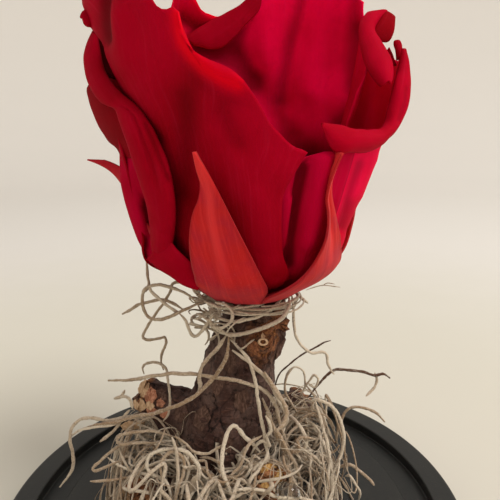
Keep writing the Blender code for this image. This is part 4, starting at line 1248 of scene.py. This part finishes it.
FLAKE_TONES = {  # body, pale and dark
    "tan": (srgb(186, 150, 116), srgb(226, 194, 158), srgb(110, 68, 46)),
    "orange": (srgb(160, 102, 76), srgb(214, 156, 126), srgb(70, 38, 28)),
    "rust": (srgb(98, 60, 42), srgb(160, 106, 72), srgb(40, 26, 20)),
    "golden": (srgb(168, 122, 66), srgb(228, 188, 126), srgb(92, 56, 30)),
    "brown": (srgb(74, 52, 44), srgb(116, 90, 78), srgb(40, 27, 24)),
}
KNOT_EYE = (263, 342)  # pixel of the small ring in the knot's middle


def on_surface(obj, px, py):
    """Where the photo's ray through a pixel meets a piece, in mm, or None."""
    start = Vector(CAMERA_PLACE) * MM
    hit, place, *_ = obj.ray_cast(start, Vector(on_view(px, py, 0.0)) * MM - start)
    return place / MM if hit else None


def cornered(outline):
    """Points about OUTLINE_STEP apart along the straight sides of an outline."""
    for (ax, ay), (bx, by) in zip(outline, outline[1:] + outline[:1]):
        steps = max(round(math.hypot(bx - ax, by - ay) / OUTLINE_STEP), 1)
        for i in range(steps):
            yield ax + (bx - ax) * i / steps, ay + (by - ay) * i / steps


def make_flakes(stump):
    toward = (Vector(CAMERA_PLACE) - KNOT).normalized()
    rng = random.Random(8)
    for kind, outlines in FLAKES.items():
        verts, faces = [], []
        for outline in outlines:
            px, py = (sum(place[k] for place in outline) / len(outline) for k in (0, 1))
            grown = [(px + (x - px) * FLAKE_GROWTH, py + (y - py) * FLAKE_GROWTH) for x, y in outline]
            ring = [(x + rng.gauss(0, 0.15), y + rng.gauss(0, 0.15)) for x, y in cornered(grown)]
            hits = [on_surface(stump, x, y) for x, y in ring]
            depth = sum(h.y for h in hits if h) / max(sum(h is not None for h in hits), 1)
            places = [h or Vector(on_view(x, y, depth)) for h, (x, y) in zip(hits, ring)]
            middle = sum(places, Vector()) / len(places)
            start, count = len(verts), len(places)
            verts += [p - toward * FLAKE_ROOT for p in places]
            lift, slant = rng.uniform(0.2, 0.5), Vector([rng.gauss(0, 0.06) for _ in range(3)])
            top = [p + toward * (lift + slant.dot(p - middle) + rng.uniform(-0.05, 0.05)) for p in places]
            verts += top
            verts += [p.lerp(middle, 0.25) + toward * rng.uniform(0.05, 0.25) for p in top]
            verts.append(middle + toward * (lift + 0.1))
            for k in range(count):
                n = (k + 1) % count
                a, b = start + k, start + n
                faces += [(a, b, b + count, a + count), (a + count, b + count, b + 2 * count, a + 2 * count)]
                faces.append((a + 2 * count, b + 2 * count, start + 3 * count))
            faces.append(tuple(start + k for k in reversed(range(count))))
        flakes = mesh_object(kind, [v * MM for v in verts], faces)
        outward(flakes)
        dress(flakes, f"bark_flakes_{kind}", flake_finish(f"bark_{kind}", *FLAKE_TONES[kind]), "bark")
        flakes.data.set_sharp_from_angle(angle=math.radians(35))
    eye = on_surface(stump, *KNOT_EYE)
    deselect()
    bpy.ops.mesh.primitive_torus_add(
        major_radius=0.8 * MM, minor_radius=0.26 * MM, major_segments=28, minor_segments=8,
        location=(eye + toward * 0.45) * MM, rotation=toward.to_track_quat("Z", "Y").to_euler(),
    )
    ring = bpy.context.object
    bpy.ops.transform.resize(value=(1.25, 1, 0.85), center_override=ring.location)
    settle(ring)
    dress(ring, "knot_ring", flake_finish("knot_wood", *FLAKE_TONES["tan"]), "bark")


# Moss

# Balls along the limbs, as (x, y, z, radius), that no strand may enter
BALLS = np.concatenate([limb_samples(limb, 22) for limb in LIMBS])
STRAND_CLEARANCE, STRAND_FLOOR = 0.7, 0.6  # mm from the balls, and above the disc


def pushed_out(points):
    """Points moved out of the stump, and up off the disc."""
    points = np.array(points, float)
    for _ in range(2):
        for x, y, z, radius in BALLS:
            away = points - (x, y, z)
            far = np.linalg.norm(away, axis=1)
            inside = far < radius + STRAND_CLEARANCE
            points[inside] = (x, y, z) + unit(away[inside]) * (radius + STRAND_CLEARANCE)
    points[:, 2] = np.maximum(points[:, 2], DISC_TOP + STRAND_FLOOR)
    return points


def resampled(knots, spacing):
    """A smooth line through the knots, with points about spacing apart."""
    knots = np.asarray(knots, float)
    return curve_at(knots, np.linspace(0, 1, max(int(run_of(knots) / spacing), 4)))


class Tangle:
    """Strands gathered into one mesh, each a thin tube with an uneven width and its own tone."""

    def __init__(self, seed, sides=6):
        self.rng = random.Random(seed)
        self.sides = sides
        self.verts, self.faces, self.tones, self.buried = [], [], [], []

    def add(self, points, radius, tone=None, tip=0.45, wiggle=0.18, buried=0.0, flat=1.0):
        """flat: a strand's thickness as a share of its width."""
        rng = self.rng
        points = np.asarray(points, float)
        count = len(points)
        seed = rng.uniform(0, 99)
        for i, p in enumerate(points):
            shake = noise.noise_vector(Vector(p / 3.1) + Vector((seed, 0, 0)))
            points[i] = p + np.array(shake) * wiggle
        ahead = unit(np.gradient(points, axis=0))
        side = np.cross(ahead[0], (0.31, 0.22, 0.92))
        tone = rng.random() * 0.85 if tone is None else tone
        start = len(self.verts)
        for i in range(count):
            side = unit(side - ahead[i] * np.dot(side, ahead[i]))
            other = np.cross(ahead[i], side)
            to_end = min(i, count - 1 - i) / max(count - 1, 1)
            width = radius * (tip + (1 - tip) * min(1.0, to_end * 7))
            width *= 1 + 0.25 * noise.noise(Vector((seed, i * 0.4, 0)))
            for k in range(self.sides):
                a = 2 * math.pi * k / self.sides
                rough = width * rng.uniform(0.84, 1.16)
                self.verts.append(points[i] + rough * (side * math.cos(a) + flat * other * math.sin(a)))
                self.tones.append(tone)
                self.buried.append(buried)
        for i in range(count - 1):
            a, b = start + i * self.sides, start + (i + 1) * self.sides
            for k in range(self.sides):
                n = (k + 1) % self.sides
                self.faces.append((a + k, a + n, b + n, b + k))
        self.faces.append(tuple(start + k for k in reversed(range(self.sides))))
        self.faces.append(tuple(start + (count - 1) * self.sides + k for k in range(self.sides)))

    def object(self, name, finish, *nodes):
        obj = mesh_object(name, [v * MM for v in self.verts], self.faces)
        point_attribute(obj, "tone", self.tones)
        point_attribute(obj, "buried", self.buried)
        return dress(obj, name, finish, "dried_moss", *nodes)


# Strands that the photo shows one by one: depths in mm along +Y, spread evenly from end to end, the strand's
# radius, and its pixels in the photo. The long ones replace nodes of their own.
LONG_STRANDS = {
    "left": ((-4, -8, -10, -10), 0.52, ((150, 421), (138, 417), (126, 417), (112, 420), (98, 419), (88, 418), (79, 420),
        (72, 428), (70, 440), (72.5, 452), (73, 467), (68, 477), (60, 487))),
    "across": ((-9, -12, -12.5, -12, -9), 0.56, ((297, 472), (292, 455), (285, 440), (280, 425), (277, 410), (271, 397),
        (260, 388), (245, 383), (230, 379), (212, 377), (195, 374), (180, 373.5), (165, 374), (148, 377), (135, 379.5),
        (121, 380.5), (108, 380))),
    "neck_left": ((-9, -8, -7, -9, -9.5, -6), 0.5, ((196, 302), (185, 293), (172, 288), (160, 285), (148, 287),
        (142.5, 295), (143, 308), (149, 317), (160, 319.5), (172, 316), (184, 310), (197, 304), (210, 300))),
    "neck_drop": ((-6, -3, -1, 0, 1), 0.46, ((205, 300), (195, 290), (183, 283), (173, 283), (170, 292), (164, 303),
        (153, 318), (146, 329), (143, 337), (149, 340), (160, 338), (165, 337), (166, 344), (162, 353), (161, 362),
        (163.5, 370))),
    "neck_tip": ((-4, -1, 0.5), 0.5, ((186, 311), (165, 300), (148, 302), (138, 305), (130, 310), (122, 314))),
    "twig": ((4, 5, 5), 0.48, ((308, 398), (318, 385), (328, 374), (337, 369.5), (350, 370.5), (362, 372), (374, 375),
        (383, 374), (390, 378))),
    "neck_right": ((-4, -3, -2, -2), 0.45, ((291, 291), (293.5, 305), (294, 322), (296, 336), (303, 347), (312, 353),
        (322, 352), (327, 355), (328, 363), (331, 370), (334, 374))),
    "stem": ((9, 8, 7), 0.3, ((271, 408), (275, 385), (280, 373), (290, 364), (300, 356), (312, 349), (323, 343),
        (331, 340.5))),
    "right": ((2, 2, 1, 0), 0.45, ((335, 440), (340, 424), (347, 410), (357, 407), (368, 409), (377, 414), (385, 422))),
    "low_right": ((-3, -5, -8), 0.5, ((331, 478), (335, 470), (343, 465.5), (352, 465.5), (361, 472), (370, 480),
        (374, 486))),
    "right_loop": ((-3, -5, -7, -9, -7), 0.55, ((309, 402), (315, 399.5), (325, 402), (335, 410), (341, 422),
        (344, 437), (341, 454), (335, 468), (330, 480), (327, 498), (327, 512))),
    "front_loop": ((-24, -20, -15, -14, -14), 0.62, ((236, 506), (229, 488), (223.5, 475), (221.7, 460), (224, 444),
        (228.5, 431), (233.5, 425.5), (239, 429.5), (246, 438), (254, 445), (261, 453))),
}
SHOWN_STRANDS = (
    # from the knot at the front of the neck
    ((-10, -12, -13, -12), 0.6, ((226, 336), (219, 346), (209, 357), (202, 366), (199, 378), (200, 386), (197, 396))),
    ((-10, -12.5, -13, -14, -11, -9, -8), 0.6, ((229, 337), (228.5, 347), (226, 358), (219, 371), (210, 382),
        (198, 394), (183, 403), (167, 409), (152, 414), (137, 416), (124, 420), (109, 423.5), (96, 425), (80, 430))),
    ((-10, -12.5, -13, -14, -18, -22), 0.55, ((230, 339), (241, 350), (250, 363), (255, 380), (257, 393), (258.5, 405),
        (261, 418), (264, 432), (266, 445), (268.5, 460), (269, 472), (268, 485), (265, 500), (262, 512))),
    ((-11, -12.5, -12, -10), 0.55, ((232, 350), (245, 359), (259, 371), (270, 384), (277, 397), (284, 410), (287, 420),
        (283, 430))),
    # round the neck, under the rose
    ((-8, -9.5, -9.5, -7), 0.5, ((204, 301), (219, 307), (240, 308), (260, 304), (277, 297))),
    ((-8, -10, -10, -6), 0.5, ((203, 308), (215, 317), (230, 321), (245, 320), (262, 315), (274, 307), (283, 297))),
    ((-8, -10.5, -11, -10, -5), 0.62, ((210, 325), (222, 332), (235, 335), (252, 331), (270, 325), (282, 318),
        (289, 307), (289, 295))),
    ((-9, -11, -11, -10), 0.5, ((207, 320), (213, 327), (222, 328), (231, 321), (232, 312), (226, 305), (215, 302))),
    ((-9, -10, -11), 0.5, ((196, 313), (206, 318), (216, 326), (226, 334), (236, 336))),
    ((-7, -8, -9), 0.48, ((147, 285), (152, 293), (162, 301), (172, 309), (180, 314))),
    ((-9, -9, -10), 0.5, ((180, 314), (186, 322), (191, 334), (196, 336), (202, 330), (209, 321), (215, 314))),
    ((-8, -8, -9), 0.45, ((195, 319), (203, 316), (210, 311), (214, 304))),
    ((-2, -3, -6), 0.42, ((146, 260), (147.5, 273), (149, 285), (146, 292))),
    ((3, 2, 0), 0.16, ((306, 290), (315, 287), (323, 285.5), (331, 286), (340, 287.5))),
    ((2, 1, 0), 0.14, ((322, 286), (328, 283), (335, 284))),
    ((2, 3), 0.5, ((296, 293), (302, 298), (308, 303))),
    # left stub and the left side
    ((2, -4, -8), 0.42, ((144, 374), (143, 367), (148, 363), (158, 363), (166, 369), (168, 380), (169.5, 393),
        (170, 405), (168, 415), (163, 421))),
    ((-6, -8), 0.5, ((114, 399), (123, 397), (130, 400), (133, 409))),
    ((-6, -7), 0.45, ((125, 390), (121, 396), (114, 399))),
    ((-8, -9, -10), 0.5, ((130, 410), (123, 418), (116, 428), (107, 436), (100, 442))),
    ((-9, -9), 0.4, ((118, 424), (104, 426), (90, 428), (78, 431), (71, 437))),
    ((-9, -12, -12, -9), 0.5, ((175, 437), (164, 434), (150, 431), (136, 432), (124, 434), (117, 440), (121, 444.5),
        (133, 443), (150, 443), (166, 442))),
    ((-10, -13, -15), 0.48, ((140, 439), (120, 446), (109, 453), (99, 462), (93, 468), (96, 471), (108, 466),
        (119, 461))),
    ((-12, -14, -16), 0.45, ((150, 470), (135, 476), (120, 479), (105, 481), (90, 481))),
    ((-11, -13, -15), 0.42, ((108, 457), (118, 465), (130, 470), (142, 476), (150, 484))),
    ((-14, -16, -17), 0.5, ((158, 480), (150, 475), (138, 474), (130, 478), (128.5, 485), (134, 493), (146, 495),
        (158, 490), (164, 484))),
    ((-13, -15), 0.45, ((117, 490), (125, 485), (135, 482), (148, 481))),
    # the loops in front, on the left
    ((-20, -18, -16, -18, -22), 0.56, ((174, 505), (169, 488), (164, 480), (154, 475), (147.5, 469), (147.5, 461),
        (152, 454), (161, 450.5), (173, 449), (186, 451), (195, 460), (199.5, 470), (198, 484), (192, 495),
        (186, 506))),
    ((-20, -17, -18, -22), 0.52, ((163, 482), (160.5, 468), (164, 458), (171, 452), (180, 454), (184.5, 463),
        (183, 476), (179, 488), (174, 505))),
    ((-17, -18, -21), 0.5, ((172, 437), (175, 446), (177, 458), (178, 472), (177, 486), (173, 505))),
    ((-17, -18, -20), 0.5, ((184, 454), (189, 465), (187, 477), (183, 488), (181, 500))),
    ((-16, -17, -20), 0.48, ((190, 455), (192, 466), (188, 480), (182, 494), (178, 506))),
    ((-14, -16, -16), 0.45, ((175, 436), (186, 444), (195, 452), (208, 454), (217, 448), (226, 444))),
    ((-15, -17), 0.45, ((200, 458), (210, 458), (218, 462), (222, 468))),
    ((-17, -20, -19), 0.48, ((199, 466), (207, 473), (216, 478), (230, 478), (240, 480), (247, 486))),
    ((-20, -22), 0.42, ((200, 480), (206, 490), (214, 498), (226, 504))),
    ((-21, -22), 0.55, ((160, 490), (166, 495), (172, 503))),
    ((-21, -23), 0.5, ((204, 504), (209, 493), (215, 484), (218, 482))),
    # in front, on the right
    ((-20, -17, -14), 0.52, ((227, 481), (233, 473), (240, 466), (243, 457), (247, 447), (253, 441), (262, 436))),
    ((-16, -17, -16), 0.6, ((242, 466), (251, 469), (260, 466), (265, 460), (268, 452))),
    ((-14, -15, -14), 0.5, ((251, 455), (256, 445), (264, 441), (270, 446), (267, 437), (271, 430), (269, 422),
        (266, 416))),
    ((-21, -20, -17), 0.55, ((247, 491), (250, 481), (257, 472), (264, 464))),
    ((-23, -23, -22), 0.5, ((232, 490), (246, 489), (261, 490), (276, 495), (296, 497), (318, 502))),
    ((-13, -14, -16, -18), 0.7, ((264, 372), (274, 388), (283, 402), (287, 414), (283, 424), (276, 432))),
    ((-12, -13, -15, -17), 0.65, ((266, 412), (272, 424), (280, 437), (288, 452), (296, 466), (300, 480), (302, 494))),
    ((-11, -13, -16), 0.6, ((262, 398), (268, 412), (274, 428), (281, 444), (287, 460), (292, 474), (298, 490))),
    # the right side
    ((-2, -4, -8), 0.5, ((314, 400), (310, 411), (299, 424), (291, 432), (285, 442))),
    ((-4, -8, -12, -16), 0.56, ((315, 400), (319, 414), (323.5, 430), (328, 446), (329.5, 463), (328, 478),
        (326, 505))),
    ((0, -3, -6), 0.5, ((305, 412), (307, 430), (309, 446), (311, 460))),
    ((-6, -5, -4), 0.45, ((311, 453), (317, 441), (319, 432), (314, 425), (306, 420))),
    ((2, 1, 0), 0.42, ((325, 395), (326, 411), (324, 420), (318, 421))),
    ((3, 4, 4), 0.35, ((286, 395), (285, 382), (289, 371), (296, 367), (303, 371), (305, 380), (304, 390))),
    ((3, 3, 3), 0.4, ((300, 395), (310, 380), (314, 375), (318, 380), (315, 387), (309, 385))),
    ((2, 1, -2), 0.4, ((293, 367), (287, 376), (285, 390), (291, 402), (297, 412))),
    ((-8, -9, -8), 0.42, ((345, 476), (350, 476), (355, 484), (360, 492), (358, 502))),
    ((-10, -14, -16), 0.45, ((300, 495), (306, 493), (314, 484), (320, 478))),
    ((-12, -15), 0.45, ((315, 505), (319, 492), (321, 480), (324, 468))),
    ((-2, -4), 0.4, ((340, 445), (333, 452), (326, 452), (318, 456))),
    ((6, 5, 3), 0.45, ((375, 373), (377, 380), (373, 389), (366, 396))),
)
HEAP_X, HEAP_Y, HEAP_RING = -1.0, 0.0, 21.0  # middle of the heap, and radius of its crest
# The heap's half widths, and its heights above the disc, every 45 degrees from the front
HEAP_WIDTHS = (12.0, 12.0, 11.5, 12.0, 12.0, 13.0, 14.0, 13.0, 12.0)
HEAP_HEIGHTS = (23.0, 28.0, 32.0, 25.0, 18.0, 21.0, 27.0, 25.0, 23.0)
# Strands of the heap: name, how many, radii, sides, and how deep they lie as a share of the heap's size
HEAP_STRANDS = (
    ("tangle", 210, (0.34, 0.52), 6, (0.45, 1.0)),
    ("middling", 230, (0.18, 0.32), 5, (0.5, 1.04)),
    ("fine", 170, (0.06, 0.12), 4, (0.7, 1.06)),
)
# Fuzzy clumps: pixel of the middle, depth, size and number of fibres
CLUMPS = (
    ((315, 467), -7.0, 3.4, 90), ((302, 462), -10.0, 2.4, 40), ((286, 470), -15.0, 2.0, 36),
    ((214, 313), -9.0, 1.9, 26),
)
# Flat blades: depths and pixels, as for the strands
BLADES = (
    ((-19, -21), ((157, 487), (163, 493), (171, 502))), ((-19, -22), ((186, 503), (191, 490), (197, 474))),
    ((-20, -22), ((204, 504), (210, 491), (217, 480))), ((-15, -17), ((247, 487), (251, 474), (260, 463))),
)
NECK_STRANDS, NECK_TANGLE = 15, 18  # how many wind round the neck, and how many curl beside it
NECK_CENTRE = (5.0, 2.0)


def heap_point(azimuth, lift, depth):
    """A point of the heap: lift in degrees from its outer foot over its crest, depth 1 on its surface."""
    turn = (azimuth % 360) / 360
    angle = math.radians(lift)
    radius = HEAP_RING + spline(HEAP_WIDTHS, turn) * depth * math.cos(angle)
    height = DISC_TOP + spline(HEAP_HEIGHTS, turn) * depth * math.sin(angle)
    a = math.radians(azimuth)
    return (HEAP_X + radius * math.sin(a), HEAP_Y - radius * math.cos(a), height)


def heap_strand(rng, depths):
    """A curly strand that winds through the heap, and how much painted shade it takes from lying deep in it."""
    azimuth, sweep = rng.uniform(0, 360), rng.choice((-1, 1)) * rng.uniform(10, 70)
    lift, rise = rng.uniform(10, 150), rng.uniform(-60, 60)
    depth, sink = rng.uniform(*depths), rng.uniform(-0.25, 0.15)
    waves, phase, swing = rng.uniform(0.5, 2.5), rng.uniform(0, 6.3), rng.uniform(3, 22)
    loops, size = rng.uniform(0.1, 1.5), rng.uniform(0.6, 4.0)
    count = rng.randint(10, 18)
    tilt = Vector([rng.gauss(0, 1) for _ in range(3)]).normalized()
    one = tilt.orthogonal().normalized()
    two = tilt.cross(one)
    points = []
    for i in range(count):
        t = i / (count - 1)
        lifted = min(max(lift + rise * t + swing * math.sin(6.3 * waves * t + phase), 5), 172)
        here = Vector(heap_point(azimuth + sweep * t, lifted, min(depth + sink * t, depths[1] + 0.04)))
        turn = 6.3 * loops * t + phase
        points.append(here + size * (one * math.cos(turn) + two * math.sin(turn)))
    return resampled(pushed_out(points), 1.2), min(max((0.86 - depth) * 2.2, 0.0), 0.8)


def neck_strand(rng, left):
    """A strand wound round the neck just under the rose, or curled beside it on the left."""
    start, sweep = rng.uniform(0, 360), rng.choice((-1, 1)) * rng.uniform(70, 220)
    height, slope = rng.uniform(68.8, 71.6), rng.uniform(-1.5, 0.6)
    radius, phase = rng.uniform(9.6, 12.6), rng.uniform(0, 6.3)
    if left:
        start, sweep = rng.uniform(-120, -30), rng.choice((-1, 1)) * rng.uniform(20, 70)
        height, slope, radius = rng.uniform(63, 71), rng.uniform(-4, 4), rng.uniform(10.5, 15.0)
    points = []
    for i in range(22):
        t = i / 21
        a = math.radians(start + sweep * t)
        r = radius + (2.4 if left else 0.9) * math.sin(9 * t + phase)
        z = min(height + slope * t + (1.8 if left else 0.5) * math.sin(7 * t + phase), 71.8)
        points.append((NECK_CENTRE[0] + r * math.sin(a), NECK_CENTRE[1] - r * math.cos(a), z))
    return resampled(pushed_out(points), 0.8)


def clump_strand(rng, middle, size):
    """A short fine fibre inside a fuzzy clump."""
    corners = [middle + Vector([rng.gauss(0, 0.45 * size) for _ in range(3)]) for _ in range(5)]
    return pushed_out(resampled(corners, 0.7))


def shown_strand(depths, pixels):
    last = len(pixels) - 1
    places = [on_view(px, py, spline(depths, i / last)) for i, (px, py) in enumerate(pixels)]
    return pushed_out(resampled(places, 0.5))


STRAND_SHARE = 0.82  # share of the radii in the tables
LONG_SIDES, SHOWN_SIDES, FUZZ_SIDES = 8, 7, 4


def make_moss():
    finish = moss_finish()
    for name, (depths, radius, pixels) in LONG_STRANDS.items():
        node = "moss_strand_" + name
        strand = Tangle(len(node), LONG_SIDES)
        tone = 0.95 if name in ("twig", "stem") else None
        strand.add(shown_strand(depths, pixels), radius * STRAND_SHARE, tone)
        strand.object("moss_long_" + name, finish, node)
    shown = Tangle(3, SHOWN_SIDES)
    for depths, radius, pixels in SHOWN_STRANDS:
        shown.add(shown_strand(depths, pixels), radius * STRAND_SHARE)
    for depths, pixels in BLADES:
        shown.add(shown_strand(depths, pixels), 1.0, 0.55, tip=0.05, flat=0.2)
    shown.object("moss_front_strands", finish)
    neck = Tangle(5)
    for i in range(NECK_STRANDS + NECK_TANGLE):
        neck.add(neck_strand(neck.rng, i >= NECK_STRANDS), neck.rng.uniform(0.16, 0.42))
    neck.object("moss_neck_winding", finish, "moss_neck")
    for name, count, radii, sides, depths in HEAP_STRANDS:
        heap = Tangle(count, sides)
        for _ in range(count):
            points, buried = heap_strand(heap.rng, depths)
            heap.add(points, heap.rng.uniform(*radii), buried=buried)
        heap.object("moss_heap_" + name, finish, *(["moss_heap"] if name == "tangle" else []))
    fuzz = Tangle(17, FUZZ_SIDES)
    for (px, py), depth, size, count in CLUMPS:
        for _ in range(count):
            strand = clump_strand(fuzz.rng, Vector(on_view(px, py, depth)), size)
            fuzz.add(strand, fuzz.rng.uniform(0.07, 0.18), fuzz.rng.uniform(0, 0.6))
    fuzz.object("moss_fuzzy_clumps", finish)


# Glue

GLUE_PLACE, GLUE_RADIUS = (13.0, -23.0, 30.5), 2.8


def make_glue():
    deselect()
    bpy.ops.mesh.primitive_ico_sphere_add(
        subdivisions=4, radius=GLUE_RADIUS * MM, location=[c * MM for c in GLUE_PLACE]
    )
    bead = bpy.context.object
    settle(bead)
    shifted(bead, lambda p, n: n * 0.5 * grain(p, 2.5, 4.0) - Vector((0, 0, 0.12 * n.z)))
    dress(bead, "clear_glue_bead", glue_finish(), "clear_glue", "glue_bead")


# Stage

# Radius and height in metres, from the wall's top round a quarter bend to the floor
FLOOR_BEND = 0.4
STAGE = [(1.3, 0.7)] + [
    (0.9 + FLOOR_BEND * math.cos(turn), FLOOR_BEND - FLOOR_BEND * math.sin(turn))
    for turn in (math.radians(15 * i) for i in range(7))
] + [(0.8, 0.0)]


def make_stage():
    """A pale floor that sweeps up into a pale wall all round, far from the rose."""
    deselect()
    radius, height = STAGE[0]
    bpy.ops.mesh.primitive_circle_add(vertices=96, radius=radius, fill_type="NOTHING", location=(0, 0, height))
    floor = bpy.context.object
    settle(floor)
    bpy.ops.object.mode_set(mode="EDIT")
    bpy.ops.mesh.select_mode(type="VERT")
    bpy.ops.mesh.select_all(action="SELECT")
    for (before, above), (after, below) in zip(STAGE, STAGE[1:]):
        extrude_up(below - above)
        bpy.ops.transform.resize(value=(after / before, after / before, 1), center_override=(0, 0, below))
    bpy.ops.mesh.edge_face_add()
    bpy.ops.object.mode_set(mode="OBJECT")
    if floor.data.polygons[-1].normal.z < 0:
        floor.data.flip_normals()
    floor.name = "floor"
    floor.data.materials.append(floor_finish())
    floor.data.shade_smooth()


KEY_PLACE, KEY_TARGET = Vector((0.9, -0.45, 1.5)), Vector((0.004, 0.0, 0.09))


def make_lights():
    """One large soft lamp above on the right, and even light from all round."""
    data = bpy.data.lights.new("key", "AREA")
    data.shape = "DISK"
    data.size = 0.9
    data.energy = 19.0
    data.color = (1.0, 0.97, 0.93)
    lamp = linked("key", data)
    lamp.location = KEY_PLACE
    lamp.rotation_euler = (KEY_TARGET - KEY_PLACE).to_track_quat("-Z", "Y").to_euler()
    world = bpy.data.worlds.new("studio")
    world.use_nodes = True
    background = world.node_tree.nodes["Background"].inputs
    background["Color"].default_value = srgb(250, 244, 236)
    background["Strength"].default_value = 0.63
    bpy.context.scene.world = world
    bpy.context.scene.view_settings.view_transform = "Standard"


def make_camera():
    data = bpy.data.cameras.new("camera")
    data.lens = data.sensor_width * FOCAL / PHOTO_SIZE
    data.clip_start = 0.005
    camera = linked("camera", data)
    camera.location = [c * MM for c in CAMERA_PLACE]
    camera.rotation_euler = (math.radians(90 - CAMERA_PITCH), 0, 0)
    bpy.context.scene.camera = camera


make_camera()
make_base()
make_flakes(make_stump())
make_rose()
make_moss()
make_glue()
make_stage()
make_lights()
